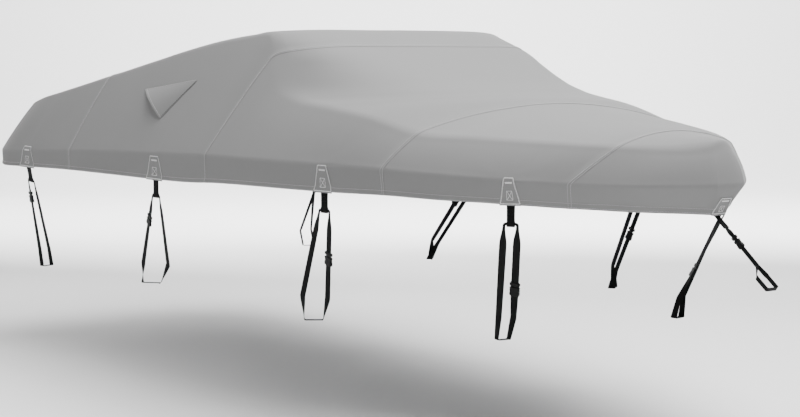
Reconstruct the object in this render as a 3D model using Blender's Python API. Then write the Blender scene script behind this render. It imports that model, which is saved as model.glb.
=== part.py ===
"""Fitted cover for a runabout on its trailer, with the tie-down straps that hold it.

Five cloth panels are sewn across the boat, bow to stern. Nine stitched patches on the hem
carry webbing tabs. A buckled strap runs through each side tab and round the trailer's rail,
and the bow's strap ends in a loop round the winch post. Two vent hoods stand on the cockpit
sides. The hull and the trailer are not part of the model: the cover is hollow, and the
straps are open where the rails and the post run through them.

Units are metres. +X points to the bow, +Y to port and +Z up. The origin lies under the
middle of the windscreen ridge, just below the cloth.
"""

import math

import bmesh
import bpy
from mathutils import Vector
from mathutils.bvhtree import BVHTree

# Heights in the tables are above the ground; the origin hangs this far above it.
ORIGIN_HEIGHT = 1.885

CLOTH_THICKNESS = 0.002
SEAM_GAP = 0.0005
WALL_BULGE = 0.006
EDGE_ROLL = 0.045
GUNWALE_ROLL = 0.028
TOP_STEPS = 6
ROLL_STEPS = 2
WALL_STEPS = 3
BEND_STEPS = 3
SHARP_ANGLE = math.radians(40)

# No roll takes more than this share of the side, or of the top, that it bends.
SIDE_ROLL_SHARE = 0.3
TOP_ROLL_SHARE = 0.4
NOSE_ROLL_SHARE = 0.6

# The skirt is drawn in square to the rim's direction, taken over this step to each side;
# across the transom and the nose it fans out instead, and the rim there bows out a little.
TANGENT_STEP = 0.020
END_FAN = 0.8
END_BULGE = 0.012

# A point well outside the cover, from which a line is cast at its skin.
CAST_FROM = -2.0

# One row for each station, stern to bow. gunwale_* is where the side folds down into the
# skirt, edge_* where it rolls over into the top, crown_* the top's middle. square is the
# power that the top's section follows: 2 is a plain arc and 9 a box with tight corners.
# drop and tuck are the skirt's height and how far its hem is drawn in under the gunwale.
STATION_COLUMNS = (
    "gunwale_x", "gunwale_y", "gunwale_z",
    "edge_x", "edge_y", "edge_z",
    "crown_x", "crown_z", "square", "drop", "tuck",
)
STATIONS = {
    "transom": (-2.755, 1.006, 1.190, -2.490, 0.895, 1.490, -2.490, 1.500, 4.0, 0.090, 0.004),
    "quarter": (-2.645, 1.040, 1.188, -2.380, 0.905, 1.510, -2.380, 1.525, 4.0, 0.090, 0.004),
    "stern": (-2.340, 1.050, 1.200, -2.110, 0.900, 1.555, -2.110, 1.575, 4.0, 0.095, 0.004),
    "seam_1": (-1.680, 1.055, 1.230, -1.540, 0.855, 1.655, -1.520, 1.675, 4.0, 0.111, 0.004),
    "cockpit_aft": (-1.160, 1.055, 1.248, -1.060, 0.810, 1.745, -1.030, 1.765, 4.0, 0.125, 0.004),
    "cockpit": (-0.660, 1.055, 1.262, -0.560, 0.755, 1.832, -0.520, 1.852, 4.0, 0.136, 0.004),
    "ridge_aft": (-0.360, 1.055, 1.270, -0.240, 0.725, 1.865, -0.200, 1.885, 4.0, 0.140, 0.004),
    "ridge": (-0.210, 1.053, 1.275, -0.040, 0.715, 1.873, 0.040, 1.889, 6.0, 0.140, 0.004),
    "seam_2": (-0.130, 1.050, 1.278, 0.050, 0.755, 1.775, 0.310, 1.812, 9.0, 0.139, 0.004),
    "screen_high": (-0.040, 1.048, 1.280, 0.120, 0.800, 1.690, 0.560, 1.720, 6.0, 0.137, 0.004),
    "screen_mid": (0.120, 1.044, 1.280, 0.210, 0.835, 1.610, 0.780, 1.645, 4.5, 0.133, 0.005),
    "screen_foot": (0.340, 1.035, 1.280, 0.380, 0.850, 1.560, 0.970, 1.600, 3.6, 0.130, 0.006),
    "deck_aft": (0.640, 1.018, 1.280, 0.680, 0.855, 1.530, 1.090, 1.580, 2.8, 0.127, 0.008),
    "deck": (0.940, 0.980, 1.280, 0.980, 0.840, 1.495, 1.200, 1.565, 2.4, 0.124, 0.012),
    "seam_3": (1.200, 0.925, 1.276, 1.280, 0.790, 1.430, 1.290, 1.545, 2.0, 0.117, 0.018),
    "foredeck_aft": (1.470, 0.830, 1.263, 1.540, 0.680, 1.418, 1.540, 1.510, 2.0, 0.111, 0.025),
    "foredeck": (1.720, 0.700, 1.250, 1.790, 0.540, 1.408, 1.790, 1.475, 2.0, 0.104, 0.033),
    "seam_4": (1.960, 0.515, 1.238, 2.060, 0.336, 1.391, 2.060, 1.447, 2.0, 0.106, 0.050),
    "bow": (2.160, 0.331, 1.232, 2.190, 0.203, 1.385, 2.180, 1.435, 2.0, 0.111, 0.075),
    "stem": (2.308, 0.166, 1.233, 2.280, 0.104, 1.391, 2.265, 1.428, 2.0, 0.118, 0.092),
    "nose": (2.380, 0.080, 1.236, 2.318, 0.050, 1.400, 2.322, 1.418, 2.0, 0.125, 0.088),
}

# Panels from seam to seam, with how many rows of cloth faces each is built from.
PANELS = {
    "panel_stern": ("transom", "seam_1", 7),
    "panel_aft": ("seam_1", "seam_2", 11),
    "panel_mid": ("seam_2", "seam_3", 11),
    "panel_fore": ("seam_3", "seam_4", 6),
    "panel_bow": ("seam_4", "nose", 6),
}


# The patches on the hem. Each is a trapezoid that reaches from the hem up to the gunwale.
PATCH_THICKNESS = 0.0012
PATCH_LIFT = 0.0015
PATCH_TALL = 0.118
PATCH_TOP_SHARE = 0.50
PATCH_FOOT = 0.004
PATCH_OVERHANG = 0.006
HEM_PROBE = 0.012
HEM_MARGIN = 0.001
PATCH_COLUMNS = 6
PATCH_ROWS = (0.0, 0.35, 0.64, 0.70, 0.76, 0.82, 0.88, 0.94, 1.0)
BOW_PATCH_SHARE = 0.55
BOW_PATCH_COLUMNS = 14
BOW_PATCH_LIFT = 0.0038
BOW_PATCH_RADIUS = 0.045
BOW_PATCH_SPREAD = math.radians(40)

# The tabs: webbing folded in two, with the strap through the fold.
TAB_HALF_THICKNESS = 0.0015
TAB_TUCK = 0.030
TAB_DEPTH = 0.0055
TAB_LENGTH = 0.085
FOLD_STEPS = 10
FOLD_OUTER = (0.0048, 0.0135)
FOLD_INNER = (0.0031, 0.0115)

# The straps. They are gathered narrow inside the fold and spread out down the legs.
STRAP_HALF = (0.0175, 0.0009)
GATHERED_HALF = (0.0065, 0.0018)
SPREAD_LENGTH = 0.090
ARCH_CLEARANCE = 0.0015
ARCH_RADIUS = 0.0105
FOOT_RADIUS = 0.008
STRAP_RING_LENGTH = 0.050
LEG_FACING = Vector((0.20, -0.98, 0.0))
TAB_TURN = (math.radians(20), math.radians(320))

# Each side tie, on the starboard side. hang is the way its tab hangs. The aft leg runs down
# the rail's outer face and the fore leg down its inner face; the buckle sits on one of them,
# buckle_at of the way down from the tab. The corners are where the strap bears on the rail.
TIE_COLUMNS = (
    "gunwale_x", "patch_width", "tab_width", "hang", "buckle_leg", "buckle_at",
    "outer_top", "outer_foot", "inner_foot", "inner_top",
)
TIES = {
    "stern": (
        -2.275, 0.215, 0.060, (-0.07, 0.20, -0.98), "outer", 0.24,
        (-2.301, -0.970, -1.274), (-2.270, -0.970, -1.380),
        (-2.290, -0.900, -1.380), (-2.324, -0.900, -1.285),
    ),
    "aft": (
        -0.652, 0.180, 0.055, (0.0, 0.0, -1.0), "outer", 0.34,
        (-0.953, -0.970, -1.231), (-0.965, -0.970, -1.337),
        (-0.890, -0.900, -1.337), (-0.804, -0.900, -1.231),
    ),
    "mid": (
        0.840, 0.125, 0.046, (0.0, 0.0, -1.0), "inner", 0.53,
        (0.636, -0.970, -1.226), (0.650, -0.970, -1.336),
        (0.700, -0.900, -1.336), (0.739, -0.900, -1.232),
    ),
    "fore": (
        1.762, 0.092, 0.036, (0.0, 0.0, -1.0), "inner", 0.68,
        (1.565, -0.560, -1.241), (1.550, -0.560, -1.348),
        (1.560, -0.500, -1.348), (1.592, -0.500, -1.250),
    ),
}

# The bow's strap runs straight from the stem down to the winch post, which leans forward.
BOW_TAB_WIDTH = 0.030
BOW_TAB_LENGTH = 0.082
BOW_SLOT_DEPTH = 0.026
BOW_SLOT_EASE = 0.0004
BOW_FORK_FLARE = 0.010
BOW_STRAP_EASE = 0.002
BOW_TWIST_STEPS = 6
BOW_LAP = 0.012
BOW_STRAP_HALF = (0.010, 0.0009)
BOW_STRAP_TOP = (2.2935, 0.0, -0.776)
BOW_PINCH = (2.528, 0.0, -0.968)
BOW_BUCKLE_AT = 0.163
POST_CENTRE = (2.581, 0.0, -1.031)
POST_AXIS = (0.610, 0.0, 0.792)
POST_HALF = (0.0355, 0.0315)
LAYER_OFFSET = 0.0012

# The buckle's shape along the strap: where each ring stands, its half width and half
# thickness. The first and last two rings are the pockets that take the strap's ends.
BUCKLE_RINGS = (
    (-0.018, 0.0182, 0.0014),
    (-0.033, 0.0182, 0.0014),
    (-0.033, 0.0200, 0.0042),
    (-0.030, 0.0230, 0.0055),
    (-0.019, 0.0230, 0.0055),
    (-0.016, 0.0198, 0.0046),
    (-0.012, 0.0198, 0.0046),
    (-0.009, 0.0230, 0.0065),
    (0.026, 0.0225, 0.0065),
    (0.033, 0.0200, 0.0044),
    (0.033, 0.0182, 0.0014),
    (0.018, 0.0182, 0.0014),
)
BUCKLE_GRIP = 0.019
BUCKLE_MOUTH = 0.036
BUCKLE_CHAMFER = 0.35
BOW_BUCKLE_SCALE = 0.60

# The vent hood on each cockpit side: corners as x and height, with the mouth from aft to low.
VENT_AFT = (-1.045, 1.583)
VENT_FORE = (-0.525, 1.640)
VENT_LOW = (-0.740, 1.432)
VENT_RISE = 0.028
VENT_DRAW = 0.016
VENT_THICKNESS = 0.0015
VENT_LIFT = 0.0015
VENT_STEPS = (6, 6)
VENT_TIP = 0.04


def height(above_ground):
    """A height above the ground as a Z in the model's frame."""
    return above_ground - ORIGIN_HEIGHT


def station_knots():
    """Each station's place along the boat: the mean run of its three guiding curves."""
    knots = {}
    distance = 0.0
    before = None
    for name, row in STATIONS.items():
        if before:
            gunwale_run = math.dist(row[0:3], before[0:3])
            edge_run = math.dist(row[3:6], before[3:6])
            runs = [gunwale_run, edge_run, abs(row[6] - before[6])]
            distance += sum(runs) / len(runs)
        knots[name] = distance
        before = row
    return knots


KNOTS = station_knots()


def hermite(low, high, slope_low, slope_high, span, t):
    """A cubic between two values that keeps the slope given at each end."""
    a = 2 * t**3 - 3 * t**2 + 1
    b = t**3 - 2 * t**2 + t
    c = 3 * t**2 - 2 * t**3
    d = t**3 - t**2
    return a * low + b * span * slope_low + c * high + d * span * slope_high


def station_at(place):
    """The table's columns at any place along the boat, on a smooth curve through its rows."""
    knots = list(KNOTS.values())
    rows = list(STATIONS.values())
    last = len(rows) - 1
    i = max(k for k in range(last) if k == 0 or knots[k] <= place)
    span = knots[i + 1] - knots[i]
    t = (place - knots[i]) / span

    def slope(k, column):
        """The slope at row k: one-sided at the ends, weighted between its neighbours inside."""
        if k == 0 or k == last:
            low = min(k, last - 1)
            return (rows[low + 1][column] - rows[low][column]) / (knots[low + 1] - knots[low])
        before = knots[k] - knots[k - 1]
        after = knots[k + 1] - knots[k]
        slope_before = (rows[k][column] - rows[k - 1][column]) / before
        slope_after = (rows[k + 1][column] - rows[k][column]) / after
        return (slope_before * after + slope_after * before) / (before + after)

    return {
        name: hermite(rows[i][c], rows[i + 1][c], slope(i, c), slope(i + 1, c), span, t)
        for c, name in enumerate(STATION_COLUMNS)
    }


def top_point(place, across):
    """A point of the top: across runs from -1 at the starboard edge to 1 at the port edge."""
    row = station_at(place)
    fall = abs(across) ** row["square"]
    x = row["crown_x"] + (row["edge_x"] - row["crown_x"]) * fall
    z = row["crown_z"] + (row["edge_z"] - row["crown_z"]) * fall
    return Vector((x, across * row["edge_y"], height(z)))


def gunwale_point(place, across):
    """A point of the gunwale fold. Between the sides it runs across the transom or the nose."""
    row = station_at(place)
    bow = place > (KNOTS["transom"] + KNOTS["nose"]) / 2
    bulge = END_BULGE if bow else -END_BULGE
    x = row["gunwale_x"] + bulge * (1 - across**2)
    return Vector((x, across * row["gunwale_y"], height(row["gunwale_z"])))


def bend(start, corner, end, steps):
    """Points on a round bend from start to end, drawn towards the corner between them."""
    points = []
    for i in range(steps + 1):
        t = i / steps
        points.append(start * (1 - t) ** 2 + corner * 2 * t * (1 - t) + end * t**2)
    return points


def rib(inset, edge, gunwale, inward, drop, tuck):
    """The cloth's line from the top over the edge, down the side, round the gunwale, to the hem."""
    side = gunwale - edge
    roll = min(EDGE_ROLL, side.length * SIDE_ROLL_SHARE)
    fold = min(GUNWALE_ROLL, side.length * SIDE_ROLL_SHARE)
    wall_top = edge + side.normalized() * roll
    wall_foot = gunwale - side.normalized() * fold
    hem = gunwale + inward * tuck - Vector((0, 0, drop))
    skirt_top = gunwale + (hem - gunwale).normalized() * fold
    points = bend(inset, edge, wall_top, ROLL_STEPS)
    for i in range(1, WALL_STEPS):
        t = i / WALL_STEPS
        outward = Vector((-inward.x, -inward.y, 0.5)).normalized()
        points.append(wall_top.lerp(wall_foot, t) + outward * WALL_BULGE * 4 * t * (1 - t))
    points += bend(wall_foot, gunwale, skirt_top, ROLL_STEPS)
    points.append(hem)
    return points


def across_steps():
    """Where the top's columns stand, from -1 to 1, closer together near the edges."""
    return [math.sin(math.pi / 2 * j / TOP_STEPS) for j in range(-TOP_STEPS, TOP_STEPS + 1)]


def row_places():
    """The place of each row of points along the boat, and the rows that are seams."""
    places = [KNOTS["transom"]]
    seams = {}
    for name, (first, last, count) in PANELS.items():
        low, high = KNOTS[first], KNOTS[last]
        places += [low + (high - low) * (i + 1) / count for i in range(count)]
        seams[name] = (len(places) - 1 - count, len(places) - 1)
    return places, seams


def rim_ribs(places, columns):
    """(row, column) of each rib's root on the top's rim, once round the cover from starboard aft."""
    last_row = len(places) - 1
    last_column = len(columns) - 1
    starboard = [(i, 0) for i in range(last_row + 1)]
    nose = [(last_row, j) for j in range(1, last_column)]
    port = [(i, last_column) for i in range(last_row, -1, -1)]
    transom = [(0, j) for j in range(last_column - 1, 0, -1)]
    return starboard + nose + port + transom


def inward_direction(place, across):
    """Which way the skirt is drawn in: square to the rim along a side, fanned across an end."""
    if place == KNOTS["nose"]:
        return Vector((-1, -END_FAN * across, 0)).normalized()
    if place == KNOTS["transom"]:
        return Vector((1, -END_FAN * across, 0)).normalized()
    aft = max(place - TANGENT_STEP, KNOTS["transom"])
    fore = min(place + TANGENT_STEP, KNOTS["nose"])
    along = gunwale_point(fore, across) - gunwale_point(aft, across)
    return Vector((along.y * across, -along.x * across, 0)).normalized()


def cover_shell():
    """The cover's outer skin: its points, its faces with their panel, and the seams' points."""
    places, panel_rows = row_places()
    columns = across_steps()
    last_row = len(places) - 1
    inset_place = {0: places[0] + EDGE_ROLL, last_row: places[-1] - NOSE_ROLL_SHARE * EDGE_ROLL}
    points, faces, owners = [], [], []
    seam_lines = {row: [] for row in range(1, last_row)}

    top = {}
    for i, place in enumerate(places):
        row_place = inset_place.get(i, place)
        half = station_at(row_place)["edge_y"]
        squeeze = 1 - min(EDGE_ROLL, half * TOP_ROLL_SHARE) / half
        for j, across in enumerate(columns):
            top[i, j] = len(points)
            points.append(top_point(row_place, across * squeeze))

    def owner(row):
        """The panel that the cloth between a row and the next belongs to."""
        return next(name for name, (low, high) in panel_rows.items() if low <= row < high)

    for i in range(last_row):
        for j in range(len(columns) - 1):
            faces.append((top[i, j], top[i + 1, j], top[i + 1, j + 1], top[i, j + 1]))
            owners.append(owner(i))

    rim = rim_ribs(places, columns)
    folds = [gunwale_point(places[i], columns[j]) for i, j in rim]
    ribs = []
    for k, (i, j) in enumerate(rim):
        inward = inward_direction(places[i], columns[j])
        row = station_at(places[i])
        edge = top_point(places[i], columns[j])
        line = rib(points[top[i, j]], edge, folds[k], inward, row["drop"], row["tuck"])
        ribs.append([top[i, j]])
        for point in line[1:]:
            ribs[-1].append(len(points))
            points.append(point)
    for k, (i, j) in enumerate(rim):
        following = (k + 1) % len(rim)
        row = min(i, rim[following][0], last_row - 1)
        for a in range(len(ribs[k]) - 1):
            faces.append((ribs[k][a], ribs[k][a + 1], ribs[following][a + 1], ribs[following][a]))
            owners.append(owner(row))
    for k, (i, j) in enumerate(rim):
        if 0 < i < last_row:
            line = ribs[k][::-1] if j == 0 else ribs[k][1:]
            if j == 0:
                line = line + [top[i, c] for c in range(1, len(columns))]
            seam_lines[i] += line
    return points, faces, owners, seam_lines, panel_rows


def split_quads(points, faces):
    """Each quad cut along its shorter diagonal, so that both sides of the boat are cut alike."""
    triangles = []
    for a, b, c, d in faces:
        if (points[a] - points[c]).length < (points[b] - points[d]).length:
            triangles += [(a, b, c), (a, c, d)]
        else:
            triangles += [(a, b, d), (b, c, d)]
    return triangles


def mesh_object(name, points, faces, material):
    """A named object from points and faces, with its faces pointing out."""
    mesh = bpy.data.meshes.new(name)
    mesh.from_pydata(points, [], faces)
    solid = bmesh.new()
    solid.from_mesh(mesh)
    bmesh.ops.recalc_face_normals(solid, faces=solid.faces)
    solid.to_mesh(mesh)
    solid.free()
    mesh.materials.append(material)
    mesh.shade_smooth()
    mesh.set_sharp_from_angle(angle=SHARP_ANGLE)
    made = bpy.data.objects.new(name, mesh)
    bpy.context.scene.collection.objects.link(made)
    return made


def sheet_mesh(outer, inner, faces):
    """A closed sheet of cloth: two skins with the same faces, joined round their borders."""
    count = len(outer)
    edges = {}
    for face in faces:
        for a, b in zip(face, face[1:] + face[:1]):
            edges[a, b] = (b, a) not in edges
            if (b, a) in edges:
                edges[b, a] = False
    back = [tuple(v + count for v in reversed(face)) for face in faces]
    border = [(b, a, a + count, b + count) for (a, b), open_edge in edges.items() if open_edge]
    return outer + inner, faces + back + border


def skin_normals(points, faces):
    """The outward direction at each point of a skin."""
    normals = [Vector() for _ in points]
    for face in faces:
        a, b, c, d = (points[v] for v in face)
        direction = (c - a).cross(d - b)
        for v in face:
            normals[v] += direction
    return [n.normalized() for n in normals]


def cover_panels(shell, material):
    """The cover's cloth panels, each one closed sheet that stops just short of its seams."""
    points, faces, owners, seam_lines, panel_rows = shell
    normals = skin_normals(points, faces)
    shift = {}
    for row, line in seam_lines.items():
        for k, v in enumerate(line):
            along = points[line[min(k + 1, len(line) - 1)]] - points[line[max(k - 1, 0)]]
            shift[v] = normals[v].cross(along).normalized() * SEAM_GAP / 2
    for name, (low, high) in panel_rows.items():
        mine = [face for face, panel in zip(faces, owners) if panel == name]
        used = sorted({v for face in mine for v in face})
        index = {v: k for k, v in enumerate(used)}
        back_seam = set(seam_lines.get(low, []))
        front_seam = set(seam_lines.get(high, []))
        outer = []
        for v in used:
            move = Vector()
            if v in back_seam:
                move = -shift[v]
            if v in front_seam:
                move = shift[v]
            outer.append(points[v] + move)
        inner = [p - normals[v] * CLOTH_THICKNESS for p, v in zip(outer, used)]
        local = [tuple(index[v] for v in face) for face in split_quads(points, mine)]
        mesh_object(name, *sheet_mesh(outer, inner, local), material)


def both_sides(name, points, faces, material):
    """A starboard piece and its mirror image to port."""
    mesh_object(name + "_starboard", points, faces, material)
    mirrored = [Vector((p.x, -p.y, p.z)) for p in points]
    mesh_object(name + "_port", mirrored, faces, material)


def place_at(gunwale_x):
    """The place along the boat where the gunwale reaches this x."""
    low, high = KNOTS["transom"], KNOTS["nose"]
    for _ in range(40):
        middle = (low + high) / 2
        if station_at(middle)["gunwale_x"] < gunwale_x:
            low = middle
        else:
            high = middle
    return low


def on_skin(skin, start, direction):
    """Where a straight line first meets the cover's outer skin, and the skin's direction there."""
    point, normal, _, _ = skin.ray_cast(start, direction)
    if normal.dot(direction) > 0:
        normal = -normal
    return point, normal


def hem_frame(skin, gunwale_x):
    """The hem below a place on the starboard gunwale: its point, and the skirt's own axes."""
    place = place_at(gunwale_x)
    row = station_at(place)
    along = gunwale_point(place + HEM_PROBE, -1) - gunwale_point(place - HEM_PROBE, -1)
    inward = Vector((-along.y, along.x, 0)).normalized()
    hem = gunwale_point(place, -1) + inward * row["tuck"] - Vector((0, 0, row["drop"]))
    point, outward = on_skin(skin, hem + Vector((0, 0, HEM_PROBE)) - inward, inward)
    forward = outward.cross(Vector((0, 0, -1))).normalized()
    up = forward.cross(outward).normalized()
    if up.z < 0:
        up = -up
    return point - up * (HEM_PROBE - HEM_MARGIN), outward, forward, up


def patch_sheet(rows, lift, make):
    """A patch from a grid of points and directions on the skirt, raised off it by the lift."""
    outer, inner = [], []
    for grid_row in rows:
        for point, normal in grid_row:
            inner.append(point + normal * lift)
            outer.append(point + normal * (lift + PATCH_THICKNESS))
    across = len(rows[0])
    faces = []
    for i in range(len(rows) - 1):
        for j in range(across - 1):
            a = i * across + j
            faces.append((a, a + 1, a + across + 1, a + across))
    make(*sheet_mesh(outer, inner, split_quads(outer, faces)))


def side_patch(skin, name, tie, material):
    """A patch on the side skirt."""
    hem, outward, forward, up = hem_frame(skin, tie["gunwale_x"])
    inward = Vector((-outward.x, -outward.y, 0)).normalized()
    rows = []
    for share in PATCH_ROWS:
        width = tie["patch_width"] * (1 - (1 - PATCH_TOP_SHARE) * share)
        row = []
        for j in range(PATCH_COLUMNS + 1):
            along = width * (j / PATCH_COLUMNS - 0.5)
            at = hem + forward * along + up * (PATCH_FOOT + PATCH_TALL * share)
            row.append(on_skin(skin, at - inward, inward))
        rows.append(row)
    foot = [(point - up * (PATCH_FOOT + PATCH_OVERHANG), normal) for point, normal in rows[0]]
    patch_sheet([foot] + rows, PATCH_LIFT, lambda p, f: both_sides(name, p, f, material))


def bow_patch(skin, material):
    """The patch that wraps the stem, laid out by turning round an upright axis inside it."""
    row = station_at(KNOTS["nose"])
    gunwale = gunwale_point(KNOTS["nose"], 0)
    centre_x = gunwale.x - row["tuck"] - BOW_PATCH_RADIUS
    turns, rows = [], []
    for share in PATCH_ROWS:
        spread = BOW_PATCH_SPREAD * (1 - (1 - PATCH_TOP_SHARE) * share)
        z = gunwale.z - row["drop"] * (1 - BOW_PATCH_SHARE * share) + PATCH_FOOT
        turns.append([spread * (2 * j / BOW_PATCH_COLUMNS - 1) for j in range(BOW_PATCH_COLUMNS + 1)])
        rays = [Vector((math.cos(turn), math.sin(turn), 0)) for turn in turns[-1]]
        rows.append([on_skin(skin, Vector((centre_x, 0, z)) + ray, -ray) for ray in rays])
    foot = []
    for turn, (point, normal) in zip(turns[0], rows[0]):
        inward = Vector((-math.cos(turn), -math.sin(turn), 0))
        down = (inward * row["tuck"] - Vector((0, 0, row["drop"]))).normalized()
        foot.append((point + down * (PATCH_FOOT + PATCH_OVERHANG), normal))
    patch_sheet([foot] + rows, BOW_PATCH_LIFT, lambda p, f: mesh_object("patch_bow", p, f, material))


def prism(corners, axis, half):
    """Both ends of a prism's points: each corner moved to each side along its own axis."""
    return [c - a * half for c, a in zip(corners, axis)] + [c + a * half for c, a in zip(corners, axis)]


def folded_tab(top, root, pull, across_top, across, outward_top, width):
    """A tab of webbing folded round a slot: its points and faces, and the middle of the slot.

    top is the tab's upper end behind the skirt, root its point at the hem and pull the way
    it hangs from there.
    """
    outward = across.cross(pull).normalized()
    if outward.dot(outward_top) < 0:
        outward = -outward
    middle = root + pull * TAB_LENGTH

    def around(size, turn):
        """A point on the fold's oval, with 0 at the top and half a turn at the bottom."""
        return middle - pull * size[1] * math.cos(turn) + outward * size[0] * math.sin(turn)

    first, sweep = TAB_TURN
    outer = [around(FOLD_OUTER, first + sweep * k / FOLD_STEPS) for k in range(FOLD_STEPS + 1)]
    inner = [around(FOLD_INNER, 2 * math.pi * k / FOLD_STEPS) for k in range(FOLD_STEPS)]
    neck = [
        top + outward_top * TAB_HALF_THICKNESS, top - outward_top * TAB_HALF_THICKNESS,
        root + outward * TAB_HALF_THICKNESS, root - outward * TAB_HALF_THICKNESS,
    ]
    corners = neck + outer + inner
    axes = [across_top, across_top] + [across] * (len(corners) - 2)
    points = prism(corners, axes, width / 2)
    side = len(corners)
    first_outer, first_inner = 4, 4 + len(outer)
    last_outer = first_inner - 1
    cap = [(0, 1, 3, 2), (2, 3, last_outer, first_inner, first_outer)]
    for k in range(FOLD_STEPS):
        a, b = first_outer + k, first_inner + k
        c = first_inner + (k + 1) % FOLD_STEPS
        cap.append((a, a + 1, c, b))
    rim = [0, 2] + list(range(first_outer, first_inner)) + [3, 1]
    faces = cap + [tuple(v + side for v in reversed(face)) for face in cap]
    for loop in (rim, list(range(first_inner, side))):
        for a, b in zip(loop, loop[1:] + loop[:1]):
            faces.append((a, b, b + side, a + side))
    return points, faces, middle, outward


def ring_points(point, width_axis, thick_axis, half, chamfer=0.0):
    """The corners of one cross-section: four, or eight where they are chamfered."""
    w, t = half
    if not chamfer:
        corners = [(w, t), (-w, t), (-w, -t), (w, -t)]
    else:
        c = min(t, w) * chamfer
        corners = [
            (w - c, t), (c - w, t), (-w, t - c), (-w, c - t),
            (c - w, -t), (w - c, -t), (w, c - t), (w, t - c),
        ]
    return [point + width_axis * a + thick_axis * b for a, b in corners]


def tube(rings):
    """The points and faces of a closed tube through cross-sections of equal corner counts.

    Opposite sides are cut along matching diagonals, so a thin twisted band keeps its thickness.
    """
    count = len(rings[0])
    points = [point for ring in rings for point in ring]
    faces = [tuple(range(count)), tuple(range(len(points) - 1, len(points) - 1 - count, -1))]
    for i in range(len(rings) - 1):
        for j in range(count):
            a, b = i * count + j, i * count + (j + 1) % count
            if j < count // 2:
                faces += [(a, b, b + count), (a, b + count, a + count)]
            else:
                faces += [(a, b, a + count), (b, b + count, a + count)]
    return points, faces


def strap(path):
    """A strap along a path of (point, facing, half sizes): facing is what its flat side faces."""
    rings = []
    for k, (point, facing, half) in enumerate(path):
        before = path[max(k - 1, 0)][0]
        after = path[min(k + 1, len(path) - 1)][0]
        along = (after - before).normalized()
        width_axis = facing.cross(along).normalized()
        rings.append(ring_points(point, width_axis, along.cross(width_axis), half))
    return tube(rings)


def spread_half(distance):
    """The strap's half sizes at this distance below the tab."""
    t = min(distance / SPREAD_LENGTH, 1)
    t = t * t * (3 - 2 * t)
    return tuple(a + (b - a) * t for a, b in zip(GATHERED_HALF, STRAP_HALF))


def straight_run(start, end, facing_start, facing_end, half_at):
    """Evenly spaced stations from start to end, without the start itself."""
    count = max(1, round((end - start).length / STRAP_RING_LENGTH))
    stations = []
    for i in range(1, count + 1):
        t = i / count
        point = start.lerp(end, t)
        facing = facing_start.lerp(facing_end, t).normalized()
        stations.append((point, facing, half_at((point - start).length)))
    return stations


def foot_bend(before, corner, after, facing_in, facing_out):
    """Stations round one of the rail's lower corners."""
    start = corner + (before - corner).normalized() * FOOT_RADIUS
    end = corner + (after - corner).normalized() * FOOT_RADIUS
    stations = []
    for i, point in enumerate(bend(start, corner, end, BEND_STEPS)):
        facing = facing_in.lerp(facing_out, i / BEND_STEPS).normalized()
        stations.append((point, facing, STRAP_HALF))
    return stations


def side_strap(tie, slot, across, pull, outward):
    """The strap through a side tab and round the rail, and its buckle's place and axes."""
    corners = {name: Vector(tie[name]) for name in ("outer_top", "outer_foot", "inner_foot", "inner_top")}
    rail_out = (corners["outer_foot"] - corners["inner_foot"]).normalized()
    if tie["buckle_leg"] == "outer":
        side, near, far, under = -1, "outer", "inner", Vector((0, 0, 1))
    else:
        side, near, far, under = 1, "inner", "outer", Vector((0, 0, -1))
    near_top, near_foot = corners[near + "_top"], corners[near + "_foot"]
    far_top, far_foot = corners[far + "_top"], corners[far + "_foot"]
    level = tie["tab_width"] / 2 + ARCH_CLEARANCE
    shoulders = [slot + across * side * s * (level + ARCH_RADIUS) for s in (1, -1)]
    leg_starts = [shoulder + pull * ARCH_RADIUS for shoulder in shoulders]
    leg = (near_top - leg_starts[0]).normalized()
    buckle = leg_starts[0].lerp(near_top, tie["buckle_at"])

    path = []
    upper = buckle - leg * BUCKLE_GRIP
    climb = straight_run(leg_starts[0], upper, outward, outward, spread_half)
    path += climb[::-1]
    arch = bend(leg_starts[0], shoulders[0], slot + across * side * level, BEND_STEPS)
    arch += bend(slot - across * side * level, shoulders[1], leg_starts[1], BEND_STEPS)
    path += [(point, outward, GATHERED_HALF) for point in arch]
    path += straight_run(leg_starts[1], far_top, outward, LEG_FACING, spread_half)
    turn = far_foot + (far_top - far_foot).normalized() * FOOT_RADIUS
    path += straight_run(far_top, turn, LEG_FACING, rail_out, lambda d: STRAP_HALF)[:-1]
    path += foot_bend(far_top, far_foot, near_foot, rail_out, under)
    path += foot_bend(far_foot, near_foot, near_top, under, -rail_out)
    mouth = buckle + leg * BUCKLE_MOUTH
    path += straight_run(path[-1][0], near_top, -rail_out, -LEG_FACING, lambda d: STRAP_HALF)
    path += straight_run(near_top, mouth, -LEG_FACING, -outward, lambda d: STRAP_HALF)
    path.append((buckle + leg * BUCKLE_GRIP, -outward, STRAP_HALF))
    return strap(path), buckle, leg, outward


def buckle_mesh(centre, leg, facing, scale, layers_below):
    """A side-release buckle: a short head, a waist and a body that takes 1 or 2 strap layers."""
    width_axis = facing.cross(leg).normalized()
    thick_axis = leg.cross(width_axis)
    pocket = len(BUCKLE_RINGS) - 2
    rings = []
    for k, (along, half_width, half_thickness) in enumerate(BUCKLE_RINGS):
        if k >= pocket and layers_below == 2:
            half_thickness += LAYER_OFFSET
        half = (half_width * scale, half_thickness)
        rings.append(ring_points(centre + leg * along, width_axis, thick_axis, half, BUCKLE_CHAMFER))
    return tube(rings)


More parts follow.
